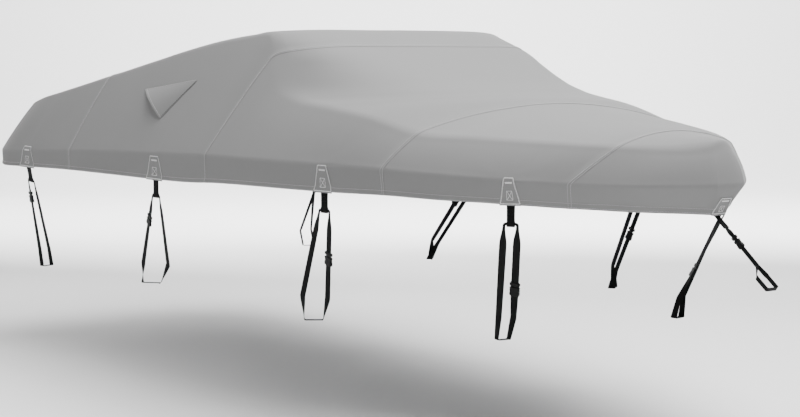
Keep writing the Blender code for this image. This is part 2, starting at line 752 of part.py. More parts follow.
def side_ties(skin, cloth, webbing, plastic):
    """The patches, tabs, straps and buckles along both sides."""
    for name, values in TIES.items():
        tie = dict(zip(TIE_COLUMNS, values))
        side_patch(skin, "patch_" + name, tie, cloth)
        hem, outward, forward, up = hem_frame(skin, tie["gunwale_x"])
        root = hem - outward * TAB_DEPTH
        pull = Vector(tie["hang"]).normalized()
        across = (forward - pull * forward.dot(pull)).normalized()
        top = root + up * TAB_TUCK
        points, faces, slot, facing = folded_tab(
            top, root, pull, forward, across, outward, tie["tab_width"]
        )
        both_sides("tab_" + name, points, faces, webbing)
        (points, faces), centre, leg, facing = side_strap(tie, slot, across, pull, facing)
        both_sides("strap_" + name, points, faces, webbing)
        points, faces = buckle_mesh(centre, leg, facing, 1.0, 1)
        both_sides("buckle_" + name, points, faces, plastic)


def bow_tab(top, root, pull, webbing):
    """The bow's tab: two layers of webbing with the strap's end sewn between them."""
    across = Vector((0, 1, 0))
    outward = across.cross(pull).normalized()
    thick = 2 * TAB_HALF_THICKNESS
    gap = BOW_STRAP_HALF[1] + BOW_SLOT_EASE
    end = root + pull * BOW_TAB_LENGTH
    fork = end - pull * BOW_SLOT_DEPTH
    neck = fork - pull * BOW_FORK_FLARE
    half = TAB_HALF_THICKNESS
    profile = [
        top + outward * half, root + outward * half, neck + outward * half,
        fork + outward * (gap + thick / 2), end + outward * (gap + thick / 2),
        end + outward * gap, fork + outward * gap,
        fork - outward * gap, end - outward * gap,
        end - outward * (gap + thick / 2), fork - outward * (gap + thick / 2),
        neck - outward * half, root - outward * half, top - outward * half,
    ]
    side = len(profile)
    points = prism(profile, [across] * side, BOW_TAB_WIDTH / 2)
    cap = [(0, 1, 12, 13), (1, 2, 11, 12), (2, 3, 6, 7, 10, 11), (3, 4, 5, 6), (7, 8, 9, 10)]
    faces = cap + [tuple(v + side for v in reversed(face)) for face in cap]
    faces += [(k, (k + 1) % side, (k + 1) % side + side, k + side) for k in range(side)]
    mesh_object("tab_bow", points, faces, webbing)
    return fork


def bow_tie(skin, cloth, webbing, plastic):
    """The patch on the stem, its tab, the strap to the winch post and the buckle between."""
    bow_patch(skin, cloth)
    start = Vector(BOW_STRAP_TOP)
    pinch = Vector(BOW_PINCH)
    pull = (pinch - start).normalized()
    row = station_at(KNOTS["nose"])
    up = Vector((row["tuck"], 0, row["drop"])).normalized()
    fork = bow_tab(start + up * TAB_TUCK, start, pull, webbing)
    sideways = Vector((0, -1, 0))
    flat = pull.cross(Vector((0, 1, 0))).normalized()
    buckle = start + pull * BOW_BUCKLE_AT
    points, faces = buckle_mesh(buckle, pull, sideways, BOW_BUCKLE_SCALE, 2)
    mesh_object("buckle_bow", points, faces, plastic)

    top_end = fork + pull * BOW_STRAP_EASE
    turn_start = start + pull * (BOW_TAB_LENGTH + BOW_STRAP_EASE)
    turn_end = buckle - pull * BUCKLE_MOUTH
    path = [(top_end, flat, BOW_STRAP_HALF)]
    for i in range(BOW_TWIST_STEPS + 1):
        t = i / BOW_TWIST_STEPS
        facing = flat * math.cos(t * math.pi / 2) + sideways * math.sin(t * math.pi / 2)
        path.append((turn_start.lerp(turn_end, t), facing, BOW_STRAP_HALF))
    path.append((buckle - pull * BUCKLE_GRIP, sideways, BOW_STRAP_HALF))
    mesh_object("strap_bow", *strap(path), webbing)

    centre, axis = Vector(POST_CENTRE), Vector(POST_AXIS).normalized()
    sill = Vector((0, 1, 0)).cross(axis).normalized()
    if sill.x < 0:
        sill = -sill
    half_deep, half_wide = POST_HALF
    corners = [
        centre + sill * half_deep * a + Vector((0, half_wide * b, 0))
        for a, b in ((-1, -1), (1, -1), (1, 1), (-1, 1))
    ]
    layer = Vector((0, LAYER_OFFSET, 0))
    grip = buckle + pull * BUCKLE_GRIP
    lap = pinch - pull * BOW_LAP
    loop = [(point - layer, sideways) for point in (grip, lap, pinch)]
    outward_of = [-sill, Vector((0, -1, 0)), sill, Vector((0, 1, 0)), -sill]
    for k, corner in enumerate(corners):
        before = corners[k - 1] if k else pinch
        after = corners[k + 1] if k < 3 else pinch
        start_point = corner + (before - corner).normalized() * FOOT_RADIUS
        end_point = corner + (after - corner).normalized() * FOOT_RADIUS
        for i, point in enumerate(bend(start_point, corner, end_point, BEND_STEPS)):
            facing = outward_of[k].lerp(outward_of[k + 1], i / BEND_STEPS).normalized()
            loop.append((point, facing))
    loop += [(point + layer, -sideways) for point in (pinch, lap, grip)]
    stations = [(point, facing, BOW_STRAP_HALF) for point, facing in loop]
    mesh_object("strap_bow_loop", *strap(stations), webbing)


def vent_hoods(skin, material):
    """The three-cornered vent hoods: sewn down along two edges, with the third standing open."""
    aft, fore, low = (Vector((x, 0, height(z))) for x, z in (VENT_AFT, VENT_FORE, VENT_LOW))
    toward = Vector((0, 1, 0))
    down_steps, mouth_steps = VENT_STEPS
    outer, inner = [], []
    for i in range(down_steps + 1):
        reach = VENT_TIP + (1 - VENT_TIP) * i / down_steps
        for j in range(mouth_steps + 1):
            t = j / mouth_steps
            flat = fore.lerp(aft.lerp(low, t), reach)
            bulge = 4 * t * (1 - t) * reach**1.6
            point, normal = on_skin(skin, Vector((flat.x + VENT_DRAW * bulge, CAST_FROM, flat.z)), toward)
            rise = VENT_LIFT + VENT_RISE * bulge
            inner.append(point + normal * rise)
            outer.append(point + normal * (rise + VENT_THICKNESS))
    across = mouth_steps + 1
    faces = []
    for i in range(down_steps):
        for j in range(mouth_steps):
            a = i * across + j
            faces.append((a, a + 1, a + across + 1, a + across))
    both_sides("vent_hood", *sheet_mesh(outer, inner, split_quads(outer, faces)), material)


def principled(name, colour, roughness):
    """A plain material of one colour."""
    material = bpy.data.materials.new(name)
    material.use_nodes = True
    shader = material.node_tree.nodes["Principled BSDF"]
    shader.inputs["Base Color"].default_value = (*colour, 1)
    shader.inputs["Roughness"].default_value = roughness
    shader.inputs["Metallic"].default_value = 0.0
    return material


def clear_scene():
    """Removes what the scene holds at the start."""
    for item in list(bpy.data.objects):
        bpy.data.objects.remove(item)


def main():
    """Builds the whole cover."""
    clear_scene()
    cloth = principled("cover_cloth", (0.30, 0.30, 0.30), 0.85)
    webbing = principled("black_webbing", (0.015, 0.015, 0.015), 0.75)
    plastic = principled("black_plastic", (0.012, 0.012, 0.012), 0.40)
    shell = cover_shell()
    cover_panels(shell, cloth)
    skin = BVHTree.FromPolygons(shell[0], split_quads(shell[0], shell[1]))
    side_ties(skin, cloth, webbing, plastic)
    bow_tie(skin, cloth, webbing, plastic)
    vent_hoods(skin, cloth)


main()
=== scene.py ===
"""Dresses the fitted boat cover: cloth panels, hem patches, webbing ties, buckles and vent hoods.

Units are metres. +X points to the bow, +Y to port and +Z up, with the origin under the
middle of the windscreen ridge.
"""

import functools
import math

import bmesh
import bpy
from mathutils import Matrix, Vector, noise
from mathutils.bvhtree import BVHTree


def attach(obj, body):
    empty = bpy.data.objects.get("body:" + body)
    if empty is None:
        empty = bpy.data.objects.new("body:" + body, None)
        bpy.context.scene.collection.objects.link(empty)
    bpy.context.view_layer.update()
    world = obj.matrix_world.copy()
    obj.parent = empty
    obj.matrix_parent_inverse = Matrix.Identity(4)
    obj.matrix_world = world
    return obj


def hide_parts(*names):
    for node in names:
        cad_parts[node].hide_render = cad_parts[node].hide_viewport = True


bl_info = {
    "name": "Boat cover",
    "version": (1, 0, 0),
    "blender": (4, 5, 0),
    "location": "3D View > Sidebar > Boat cover",
    "description": "Makes a fitted boat cover with its ties, buckles and vent hoods",
    "category": "Object",
}

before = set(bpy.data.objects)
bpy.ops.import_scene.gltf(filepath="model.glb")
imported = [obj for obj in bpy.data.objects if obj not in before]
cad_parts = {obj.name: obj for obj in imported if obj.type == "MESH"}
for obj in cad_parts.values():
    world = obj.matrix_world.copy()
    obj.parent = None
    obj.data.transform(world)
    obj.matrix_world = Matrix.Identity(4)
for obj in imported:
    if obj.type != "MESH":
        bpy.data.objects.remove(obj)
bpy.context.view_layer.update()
BODY = "root"

# Heights in the tables are above the ground; the origin hangs this far above it.
ORIGIN_HEIGHT = 1.885

# One row for each station, stern to bow. gunwale_* is where the side folds down into the
# skirt, edge_* where it rolls over into the top, crown_* the top's middle. square is the
# power that the top's section follows. drop and tuck are the skirt's height and how far its
# hem is drawn in under the gunwale.
STATION_COLUMNS = (
    "gunwale_x", "gunwale_y", "gunwale_z",
    "edge_x", "edge_y", "edge_z",
    "crown_x", "crown_z", "square", "drop", "tuck",
)
STATIONS = {
    "transom": (-2.755, 1.006, 1.190, -2.490, 0.895, 1.490, -2.490, 1.500, 4.0, 0.090, 0.004),
    "quarter": (-2.645, 1.040, 1.188, -2.380, 0.905, 1.510, -2.380, 1.525, 4.0, 0.090, 0.004),
    "stern": (-2.340, 1.050, 1.200, -2.110, 0.900, 1.555, -2.110, 1.575, 4.0, 0.095, 0.004),
    "seam_1": (-1.680, 1.055, 1.230, -1.540, 0.855, 1.655, -1.520, 1.675, 4.0, 0.111, 0.004),
    "cockpit_aft": (-1.160, 1.055, 1.248, -1.060, 0.810, 1.745, -1.030, 1.765, 4.0, 0.125, 0.004),
    "cockpit": (-0.660, 1.055, 1.262, -0.560, 0.755, 1.832, -0.520, 1.852, 4.0, 0.136, 0.004),
    "ridge_aft": (-0.360, 1.055, 1.270, -0.240, 0.725, 1.865, -0.200, 1.885, 4.0, 0.140, 0.004),
    "ridge": (-0.210, 1.053, 1.275, -0.040, 0.715, 1.873, 0.040, 1.889, 6.0, 0.140, 0.004),
    "seam_2": (-0.130, 1.050, 1.278, 0.050, 0.755, 1.775, 0.310, 1.812, 9.0, 0.139, 0.004),
    "screen_high": (-0.040, 1.048, 1.280, 0.120, 0.800, 1.690, 0.560, 1.720, 6.0, 0.137, 0.004),
    "screen_mid": (0.120, 1.044, 1.280, 0.210, 0.835, 1.610, 0.780, 1.645, 4.5, 0.133, 0.005),
    "screen_foot": (0.340, 1.035, 1.280, 0.380, 0.850, 1.560, 0.970, 1.600, 3.6, 0.130, 0.006),
    "deck_aft": (0.640, 1.018, 1.280, 0.680, 0.855, 1.530, 1.090, 1.580, 2.8, 0.127, 0.008),
    "deck": (0.940, 0.980, 1.280, 0.980, 0.840, 1.495, 1.200, 1.565, 2.4, 0.124, 0.012),
    "seam_3": (1.200, 0.925, 1.276, 1.280, 0.790, 1.430, 1.290, 1.545, 2.0, 0.117, 0.018),
    "foredeck_aft": (1.470, 0.830, 1.263, 1.540, 0.680, 1.418, 1.540, 1.510, 2.0, 0.111, 0.025),
    "foredeck": (1.720, 0.700, 1.250, 1.790, 0.540, 1.408, 1.790, 1.475, 2.0, 0.104, 0.033),
    "seam_4": (1.960, 0.515, 1.238, 2.060, 0.336, 1.391, 2.060, 1.447, 2.0, 0.106, 0.050),
    "bow": (2.160, 0.331, 1.232, 2.190, 0.203, 1.385, 2.180, 1.435, 2.0, 0.111, 0.075),
    "stem": (2.308, 0.166, 1.233, 2.280, 0.104, 1.391, 2.265, 1.428, 2.0, 0.118, 0.092),
    "nose": (2.380, 0.080, 1.236, 2.318, 0.050, 1.400, 2.322, 1.418, 2.0, 0.125, 0.088),
}

# Panels from seam to seam.
PANELS = {
    "panel_stern": ("transom", "seam_1"),
    "panel_aft": ("seam_1", "seam_2"),
    "panel_mid": ("seam_2", "seam_3"),
    "panel_fore": ("seam_3", "seam_4"),
    "panel_bow": ("seam_4", "nose"),
}
SEAMS = ("seam_1", "seam_2", "seam_3", "seam_4")

# The cloth's shape. The rolls at its edge and its gunwale are tighter than the solids' rolls.
WALL_BULGE = 0.006
WALL_BULGE_RISE = 0.5
EDGE_ROLL = 0.030
GUNWALE_ROLL = 0.016
SIDE_ROLL_SHARE = 0.3
TOP_ROLL_SHARE = 0.4
NOSE_ROLL_SHARE = 0.6
TANGENT_STEP = 0.020
END_FAN = 0.8
END_BULGE = 0.012

# How finely the cloth is built.
ROW_PITCH = 0.024
TOP_STEPS = 18
ROLL_STEPS = 6
WALL_STEPS = 10
SKIRT_STEPS = 3

# The lapped seams: the after panel lies over the one before it.
LAP = 0.009
LAP_RAMP = 0.004
# How far the lap stands out, as a share of the cloth's thickness, and where its two rows of
# stitches run, as shares of its half width.
LAP_LIFT = 1.15
LAP_STITCHES = (-0.6, 0.6)

# The rolled hem: how far up each row lies, and how far it stands out from the skirt.
HEM_ROLL = (
    (0.0270, 0.0), (0.0225, 0.0012), (0.0165, 0.0028),
    (0.0105, 0.0044), (0.0045, 0.0060), (0.0, 0.0042),
)
# How far above the hem's edge each row of its stitches runs, and where those rows are laid from.
HEM_STITCHES = {"upper": HEM_ROLL[0][0] - 0.0045, "lower": 0.0040}
HEM_STITCHES_OUT = 2 * max(out for _, out in HEM_ROLL)
HEM_LINE_PITCH = 0.02

# The cloth's unevenness: its slack in long and short waves, and the creases at each tie.
SLACK_WAVE = 2.3
SHORT_WAVE = (5.0, 5.0, 2.0)
SHORT_SHIFT = (7, 3, 1)
SHORT_SHARE = 0.3
CREASE_REACH = 0.5
CREASE_FADE = 0.16
CREASE_START = 0.05
CREASE_FOLDS = 9
CREASE_TURN = 4

# A panel's rows stay this share of their pitch away from its seams' own rows.
ROW_CLEARANCE = 0.45
LEAST_ROWS = 4
# A height inside the cover.
INSIDE_HEIGHT = 1.2
# Edges sharper than these angles, in degrees, stay sharp.
CLOTH_SHARP = 50
WEBBING_SHARP = 45
PLASTIC_SHARP = 35
CLOTH_WELD = 2e-5
PLASTIC_WELD = 1e-6


def height(above_ground):
    """A height above the ground as a Z in the model's frame."""
    return above_ground - ORIGIN_HEIGHT


def station_knots():
    """Each station's place along the boat: the mean run of its three guiding curves."""
    knots = {}
    distance = 0.0
    before = None
    for name, row in STATIONS.items():
        if before:
            gunwale_run = math.dist(row[0:3], before[0:3])
            edge_run = math.dist(row[3:6], before[3:6])
            distance += (gunwale_run + edge_run + abs(row[6] - before[6])) / 3
        knots[name] = distance
        before = row
    return knots


KNOTS = station_knots()
FIRST, LAST = KNOTS["transom"], KNOTS["nose"]


def eased(t):
    """A share that starts and ends gently."""
    return t * t * (3 - 2 * t)


def hermite(low, high, slope_low, slope_high, span, t):
    """A cubic between two values that keeps the slope given at each end."""
    a = 2 * t**3 - 3 * t**2 + 1
    b = t**3 - 2 * t**2 + t
    c = 3 * t**2 - 2 * t**3
    d = t**3 - t**2
    return a * low + b * span * slope_low + c * high + d * span * slope_high


@functools.lru_cache(maxsize=None)
def station_at(place):
    """The table's columns at any place along the boat, on a smooth curve through its rows."""
    knots = list(KNOTS.values())
    rows = list(STATIONS.values())
    last = len(rows) - 1
    i = max(k for k in range(last) if k == 0 or knots[k] <= place)
    span = knots[i + 1] - knots[i]
    t = (place - knots[i]) / span

    def slope(k, column):
        """The slope at row k: one-sided at the ends, weighted between its neighbours inside."""
        if k == 0 or k == last:
            low = min(k, last - 1)
            return (rows[low + 1][column] - rows[low][column]) / (knots[low + 1] - knots[low])
        before = knots[k] - knots[k - 1]
        after = knots[k + 1] - knots[k]
        slope_before = (rows[k][column] - rows[k - 1][column]) / before
        slope_after = (rows[k + 1][column] - rows[k][column]) / after
        return (slope_before * after + slope_after * before) / (before + after)

    return {
        name: hermite(rows[i][c], rows[i + 1][c], slope(i, c), slope(i + 1, c), span, t)
        for c, name in enumerate(STATION_COLUMNS)
    }


def place_at(gunwale_x, halvings=40):
    """The place along the boat where the gunwale reaches this x."""
    low, high = FIRST, LAST
    for _ in range(halvings):
        middle = (low + high) / 2
        if station_at(middle)["gunwale_x"] < gunwale_x:
            low = middle
        else:
            high = middle
    return low


def top_point(place, across):
    """A point of the top: across runs from -1 at the starboard edge to 1 at the port edge."""
    row = station_at(place)
    fall = abs(across) ** row["square"]
    x = row["crown_x"] + (row["edge_x"] - row["crown_x"]) * fall
    z = row["crown_z"] + (row["edge_z"] - row["crown_z"]) * fall
    return Vector((x, across * row["edge_y"], height(z)))


def gunwale_point(place, across):
    """A point of the gunwale fold. Between the sides it runs across the transom or the nose."""
    row = station_at(place)
    bulge = END_BULGE if place > (FIRST + LAST) / 2 else -END_BULGE
    x = row["gunwale_x"] + bulge * (1 - across**2)
    return Vector((x, across * row["gunwale_y"], height(row["gunwale_z"])))


def inward_direction(place, across):
    """Which way the skirt is drawn in: square to the rim along a side, fanned across an end."""
    if place == LAST:
        return Vector((-1, -END_FAN * across, 0)).normalized()
    if place == FIRST:
        return Vector((1, -END_FAN * across, 0)).normalized()
    aft = max(place - TANGENT_STEP, FIRST)
    fore = min(place + TANGENT_STEP, LAST)
    along = gunwale_point(fore, across) - gunwale_point(aft, across)
    return Vector((along.y * across, -along.x * across, 0)).normalized()


def bend(start, corner, end, steps):
    """Points on a round bend from start to end, drawn towards the corner between them."""
    points = []
    for i in range(steps + 1):
        t = i / steps
        points.append(start * (1 - t) ** 2 + corner * 2 * t * (1 - t) + end * t**2)
    return points


def hem_foot(place, across, inward):
    """The hem's edge, which is below the gunwale and drawn in under it."""
    row = station_at(place)
    return gunwale_point(place, across) + inward * row["tuck"] - Vector((0, 0, row["drop"]))


def round_corner(before, corner, after, radius, steps):
    """Points on a round bend between two straights that meet at a corner."""
    start = corner + (before - corner).normalized() * radius
    end = corner + (after - corner).normalized() * radius
    return bend(start, corner, end, steps)


def top_place(place):
    """Where a row's top lies: near the ends the top stops short, to leave room for the roll."""
    aft_roll, fore_roll = EDGE_ROLL, EDGE_ROLL * NOSE_ROLL_SHARE
    if place < FIRST + 2 * aft_roll:
        return FIRST + aft_roll + (place - FIRST) / 2
    if place > LAST - 2 * fore_roll:
        return LAST - fore_roll - (LAST - place) / 2
    return place


def inset_point(place, across):
    """A point of the top inside its edge roll."""
    at = top_place(place)
    half = station_at(at)["edge_y"]
    return top_point(at, across * (1 - min(EDGE_ROLL, half * TOP_ROLL_SHARE) / half))


def rib(place, across):
    """The cloth's line from the top over the edge, down the side, round the gunwale, to the hem.

    Each entry is a point and how far the cloth stands out there.
    """
    edge = top_point(place, across)
    gunwale = gunwale_point(place, across)
    inward = inward_direction(place, across)
    side = gunwale - edge
    roll = min(EDGE_ROLL, side.length * SIDE_ROLL_SHARE)
    fold = min(GUNWALE_ROLL, side.length * SIDE_ROLL_SHARE)
    wall_top = edge + side.normalized() * roll
    wall_foot = gunwale - side.normalized() * fold
    hem = hem_foot(place, across, inward)
    down = (hem - gunwale).normalized()
    skirt_top = gunwale + down * fold
    roll_top = hem - down * HEM_ROLL[0][0]
    points = bend(inset_point(place, across), edge, wall_top, ROLL_STEPS)
    for i in range(1, WALL_STEPS):
        t = i / WALL_STEPS
        outward = Vector((-inward.x, -inward.y, WALL_BULGE_RISE)).normalized()
        points.append(wall_top.lerp(wall_foot, t) + outward * WALL_BULGE * 4 * t * (1 - t))
    points += bend(wall_foot, gunwale, skirt_top, ROLL_STEPS)
    points += [skirt_top.lerp(roll_top, i / SKIRT_STEPS) for i in range(1, SKIRT_STEPS)]
    line = [(point, 0.0) for point in points]
    line += [(hem - down * up, out) for up, out in HEM_ROLL]
    return line


def across_steps():
    """Where the top's columns stand, from -1 to 1, closer together near the edges."""
    return [math.sin(math.pi / 2 * j / TOP_STEPS) for j in range(-TOP_STEPS, TOP_STEPS + 1)]


def hoop(place):
    """One line of cloth round the boat, from the starboard hem over the top to the port hem."""
    top = [(inset_point(place, across), 0.0) for across in across_steps()[1:-1]]
    return rib(place, -1.0)[::-1] + top + rib(place, 1.0)


# The ties' places and sizes, as the solids have them.
PATCH_TALL = 0.118
PATCH_TOP_SHARE = 0.50
PATCH_FOOT = 0.004
PATCH_OVERHANG = 0.006
PATCH_THINNER = 0.8
HEM_PROBE = 0.012
HEM_MARGIN = 0.001
BOW_PATCH_SHARE = 0.55
BOW_PATCH_RADIUS = 0.045
BOW_PATCH_SPREAD = math.radians(40)

TAB_TUCK = 0.030
TAB_DEPTH = 0.0055
TAB_LENGTH = 0.085
TAB_HALF_THICKNESS = 0.0007
TAB_GAP = 0.0008
TAB_NECK = 0.006
TAB_STATIONS = (0.0, 0.35, 0.7, 1.0)
TAB_STITCH_SHARE = 0.6
TAB_BOX_AT = 0.42
TAB_BOX_SHARE = 0.33
TAB_BOX_HALF_TALL = 0.011
FOLD_OUTER = (0.0048, 0.0135)

STRAP_HALF = (0.0175, 0.0009)
GATHERED_HALF = (0.0065, 0.0018)
SPREAD_LENGTH = 0.090
ARCH_CLEARANCE = 0.0015
ARCH_RADIUS = 0.0105
FOOT_RADIUS = 0.008
LEG_FACING = Vector((0.20, -0.98, 0.0))

TIE_COLUMNS = (
    "gunwale_x", "patch_width", "tab_width", "hang", "buckle_leg", "buckle_at",
    "outer_top", "outer_foot", "inner_foot", "inner_top",
)
TIES = {
    "stern": (
        -2.275, 0.215, 0.060, (-0.07, 0.20, -0.98), "outer", 0.24,
        (-2.301, -0.970, -1.274), (-2.270, -0.970, -1.380),
        (-2.290, -0.900, -1.380), (-2.324, -0.900, -1.285),
    ),
    "aft": (
        -0.652, 0.180, 0.055, (0.0, 0.0, -1.0), "outer", 0.34,
        (-0.953, -0.970, -1.231), (-0.965, -0.970, -1.337),
        (-0.890, -0.900, -1.337), (-0.804, -0.900, -1.231),
    ),
    "mid": (
        0.840, 0.125, 0.046, (0.0, 0.0, -1.0), "inner", 0.53,
        (0.636, -0.970, -1.226), (0.650, -0.970, -1.336),
        (0.700, -0.900, -1.336), (0.739, -0.900, -1.232),
    ),
    "fore": (
        1.762, 0.092, 0.036, (0.0, 0.0, -1.0), "inner", 0.68,
        (1.565, -0.560, -1.241), (1.550, -0.560, -1.348),
        (1.560, -0.500, -1.348), (1.592, -0.500, -1.250),
    ),
}

BOW_TAB_WIDTH = 0.030
BOW_TAB_LENGTH = 0.082
BOW_SLOT_DEPTH = 0.026
BOW_SLOT_EASE = 0.0004
BOW_FORK_FLARE = 0.010
BOW_BOX_SHARE = 0.8
BOW_STRAP_EASE = 0.002
BOW_LAP = 0.012
BOW_STRAP_HALF = (0.010, 0.0009)
BOW_STRAP_TOP = (2.2935, 0.0, -0.776)
BOW_PINCH = (2.528, 0.0, -0.968)
BOW_BUCKLE_AT = 0.163
POST_CENTRE = (2.581, 0.0, -1.031)
POST_AXIS = (0.610, 0.0, 0.792)
POST_HALF = (0.0355, 0.0315)
LAYER_OFFSET = 0.0012

BUCKLE_GRIP = 0.019
BUCKLE_MOUTH = 0.036
BOW_BUCKLE_SCALE = 0.60
BUCKLE_BEVEL = 0.0009
BUCKLE_BEVEL_STEPS = 2
BUCKLE_CORNER = 0.0028

# The buckle's parts as outlines of their right halves, from the head's end down to the body's,
# across and along the strap. Each part has its outline, any windows, and its half thickness.
BUCKLE_PARTS = (
    # The head, with the strap's slot.
    ([[(0.0205, -0.0330), (0.0232, -0.0300), (0.0232, -0.0200), (0.0190, -0.0165)]], 0.0048),
    # The plate that joins the head to its arms.
    ([[(0.0150, -0.0180), (0.0150, 0.0060)]], 0.0026),
    # The arms' tips, which stand in the body's notches.
    ([[(0.0222, -0.0010), (0.0235, 0.0060), (0.0225, 0.0120), (0.0190, 0.0150)]], 0.0036),
    # The body, drawn in at its notches.
    ([[
        (0.0190, -0.0110), (0.0226, -0.0075), (0.0228, -0.0030), (0.0190, 0.0000), (0.0185, 0.0110),
        (0.0222, 0.0145), (0.0228, 0.0250), (0.0205, 0.0330),
    ]], 0.0062),
)
BODY_PART = 3

VENT_AFT = (-1.045, 1.583)
VENT_FORE = (-0.525, 1.640)
VENT_LOW = (-0.740, 1.432)
VENT_RISE = 0.028
VENT_DRAW = 0.016
VENT_TIP = 0.04
VENT_LIFT = 0.0027
VENT_HEM_WIDTH = 0.016
VENT_RUN = 0.42
VENT_BULGE_POWER = 1.6
# Where its edges are sewn, in rows of points from the edge, and its lower edge's heavier thread.
VENT_SEWN_AT = 0.6
DARK_PITCH = 2
DARK_THICKNESS = 1.3

# A point well outside the cover, from which a line is cast at its skin.
CAST_FROM = -2.0

# Stitches: how much longer the thread's spindle is than the stitch, how much of its pitch a
# stitch takes, how far it stands off the cloth as a share of its thickness, the shortest step
# that a zigzag is laid along, and the spindle itself.
STITCH_FULLNESS = 1.15
STITCH_SHARE = 0.72
STITCH_RAISE = 0.2
PATCH_STITCH_RAISE = 0.25
LEAST_STEP = 1e-7
SPINDLE = {"Segments": 6, "Rings": 4, "Radius": 0.5}

# Finer steps than the solids have.
FOLD_STEPS = 24
FORK_STEPS = 4
BEND_STEPS = 8
RING_LENGTH = 0.020
VENT_STEPS = (26, 26)
PATCH_COLUMNS = 26
PATCH_ROWS = 26
BOW_PATCH_COLUMNS = 36
PATCH_LINE_STEPS = 30
BAND_STEPS = 16
# Where a band's edge starts to round off, from its middle, and how much of its thickness goes.
BAND_EDGE = 0.86
BAND_ROUNDING = 0.8

# The patches' stitching: how far in the zigzag round the edge runs, the crossed box and the bar.
EDGE_INSET = 0.0040
EDGE_STITCH_WIDTH = 0.0055
EDGE_STITCH_PITCH = 0.0036
BOX_HALF_SHARE = 0.16
BOX_SHARES = (0.16, 0.50)
BOX_STITCH_WIDTH = 0.0026
BAR_HALF_SHARE = 0.27
BAR_SHARE = 0.80
BAR_STITCH_WIDTH = 0.0085
BAR_STITCH_PITCH = 0.0026

SIDES = ("starboard", "port")
SIDE_TIES = [(name, side) for name in TIES for side in SIDES]


# ---------------------------------------------------------------- materials

def join(tree, value, socket):
    """Feeds an input from another node's socket, or sets it to a plain value."""
    if isinstance(value, bpy.types.NodeSocket):
        tree.links.new(value, socket)
    else:
        socket.default_value = value


def add_node(tree, kind, inputs=None, **settings):
    """A node with its settings, and its inputs by name or number, each a socket or a value."""
    node = tree.nodes.new(kind)
    for name, value in settings.items():
        setattr(node, name, value)
    for key, value in (inputs or {}).items():
        join(tree, value, node.inputs[key])
    return node


def math_node(tree, operation, *values):
    """A Math node on one or two values, each a socket or a number."""
    return add_node(tree, "ShaderNodeMath", dict(enumerate(values)), operation=operation).outputs[0]


def add_socket(tree, name, kind="NodeSocketFloat", in_out="INPUT", value=None):
    """A named input or output on a node group."""
    socket = tree.interface.new_socket(name=name, in_out=in_out, socket_type=kind)
    if value is not None:
        socket.default_value = value


def weave_group():
    """Threads crossing over and under, from a map in metres, as their height from 0 to 1."""
    name = "Plain weave"
    if name in bpy.data.node_groups:
        return bpy.data.node_groups[name]
    tree = bpy.data.node_groups.new(name, "ShaderNodeTree")
    add_socket(tree, "Vector", "NodeSocketVector")
    add_socket(tree, "Warp pitch", value=0.0011)
    add_socket(tree, "Weft pitch", value=0.0011)
    add_socket(tree, "Height", in_out="OUTPUT")
    source = tree.nodes.new("NodeGroupInput")
    split = add_node(tree, "ShaderNodeSeparateXYZ", {0: source.outputs["Vector"]})
    waves = []
    for axis, pitch in (("X", "Warp pitch"), ("Y", "Weft pitch")):
        turns = math_node(tree, "DIVIDE", split.outputs[axis], source.outputs[pitch])
        waves.append(math_node(tree, "SINE", math_node(tree, "MULTIPLY", turns, math.pi)))
    crossing = math_node(tree, "MULTIPLY", *waves)
    raised = math_node(tree, "ADD", math_node(tree, "MULTIPLY", crossing, 0.5), 0.5)
    add_node(tree, "NodeGroupOutput", {"Height": raised})
    return tree


# The wear's two layers: which size each has, its detail and its share of the mask.
WEAR_LAYERS = (("Patch size", 3.0, 0.7), ("Speckle size", 4.0, 0.3))


def wear_group():
    """Soft unevenness of colour over a surface, from 0 to 1, with a finer speckle in it."""
    name = "Weathering"
    if name in bpy.data.node_groups:
        return bpy.data.node_groups[name]
    tree = bpy.data.node_groups.new(name, "ShaderNodeTree")
    add_socket(tree, "Vector", "NodeSocketVector")
    add_socket(tree, "Patch size", value=0.5)
    add_socket(tree, "Speckle size", value=0.02)
    add_socket(tree, "Mask", in_out="OUTPUT")
    source = tree.nodes.new("NodeGroupInput")
    layers = []
    for size, detail, share in WEAR_LAYERS:
        scale = math_node(tree, "DIVIDE", 1.0, source.outputs[size])
        cloud = add_node(tree, "ShaderNodeTexNoise", {
            "Vector": source.outputs["Vector"], "Scale": scale, "Detail": detail,
        })
        layers.append(math_node(tree, "MULTIPLY", cloud.outputs["Fac"], share))
    add_node(tree, "NodeGroupOutput", {"Mask": math_node(tree, "ADD", *layers)})
    return tree


def place_group(tree, group, vector, **values):
    """A group node on a vector socket, with its inputs set. Gives its first output."""
    inputs = {name.replace("_", " ").capitalize(): value for name, value in values.items()}
    node = add_node(tree, "ShaderNodeGroup", {"Vector": vector, **inputs}, node_tree=group)
    return node.outputs[0]


# A Mix node's sockets go by number, as those for values and for colours share their names.
MIX_FACTOR, MIX_VALUES, MIX_COLOURS = 0, (2, 3), (6, 7)
MIXED_COLOUR = 2


def mixed(tree, factor, low, high):
    """A colour between two, each of them a socket or a plain colour."""
    inputs = {MIX_FACTOR: factor}
    for key, side in zip(MIX_COLOURS, (low, high)):
        inputs[key] = side if isinstance(side, bpy.types.NodeSocket) else (*side, 1)
    return add_node(tree, "ShaderNodeMix", inputs, data_type="RGBA").outputs[MIXED_COLOUR]


def shaded(colour, factor):
    """A colour made lighter or darker."""
    return tuple(min(1.0, c * factor) for c in colour)


def new_material(name, patch_size, speckle_size):
    """A material, with its node tree and the mask of its wear."""
    material = bpy.data.materials.new(name)
    material.use_nodes = True
    tree = material.node_tree
    solid = tree.nodes.new("ShaderNodeTexCoord")
    wear = place_group(
        tree, wear_group(), solid.outputs["Object"], patch_size=patch_size, speckle_size=speckle_size
    )
    return material, tree, wear


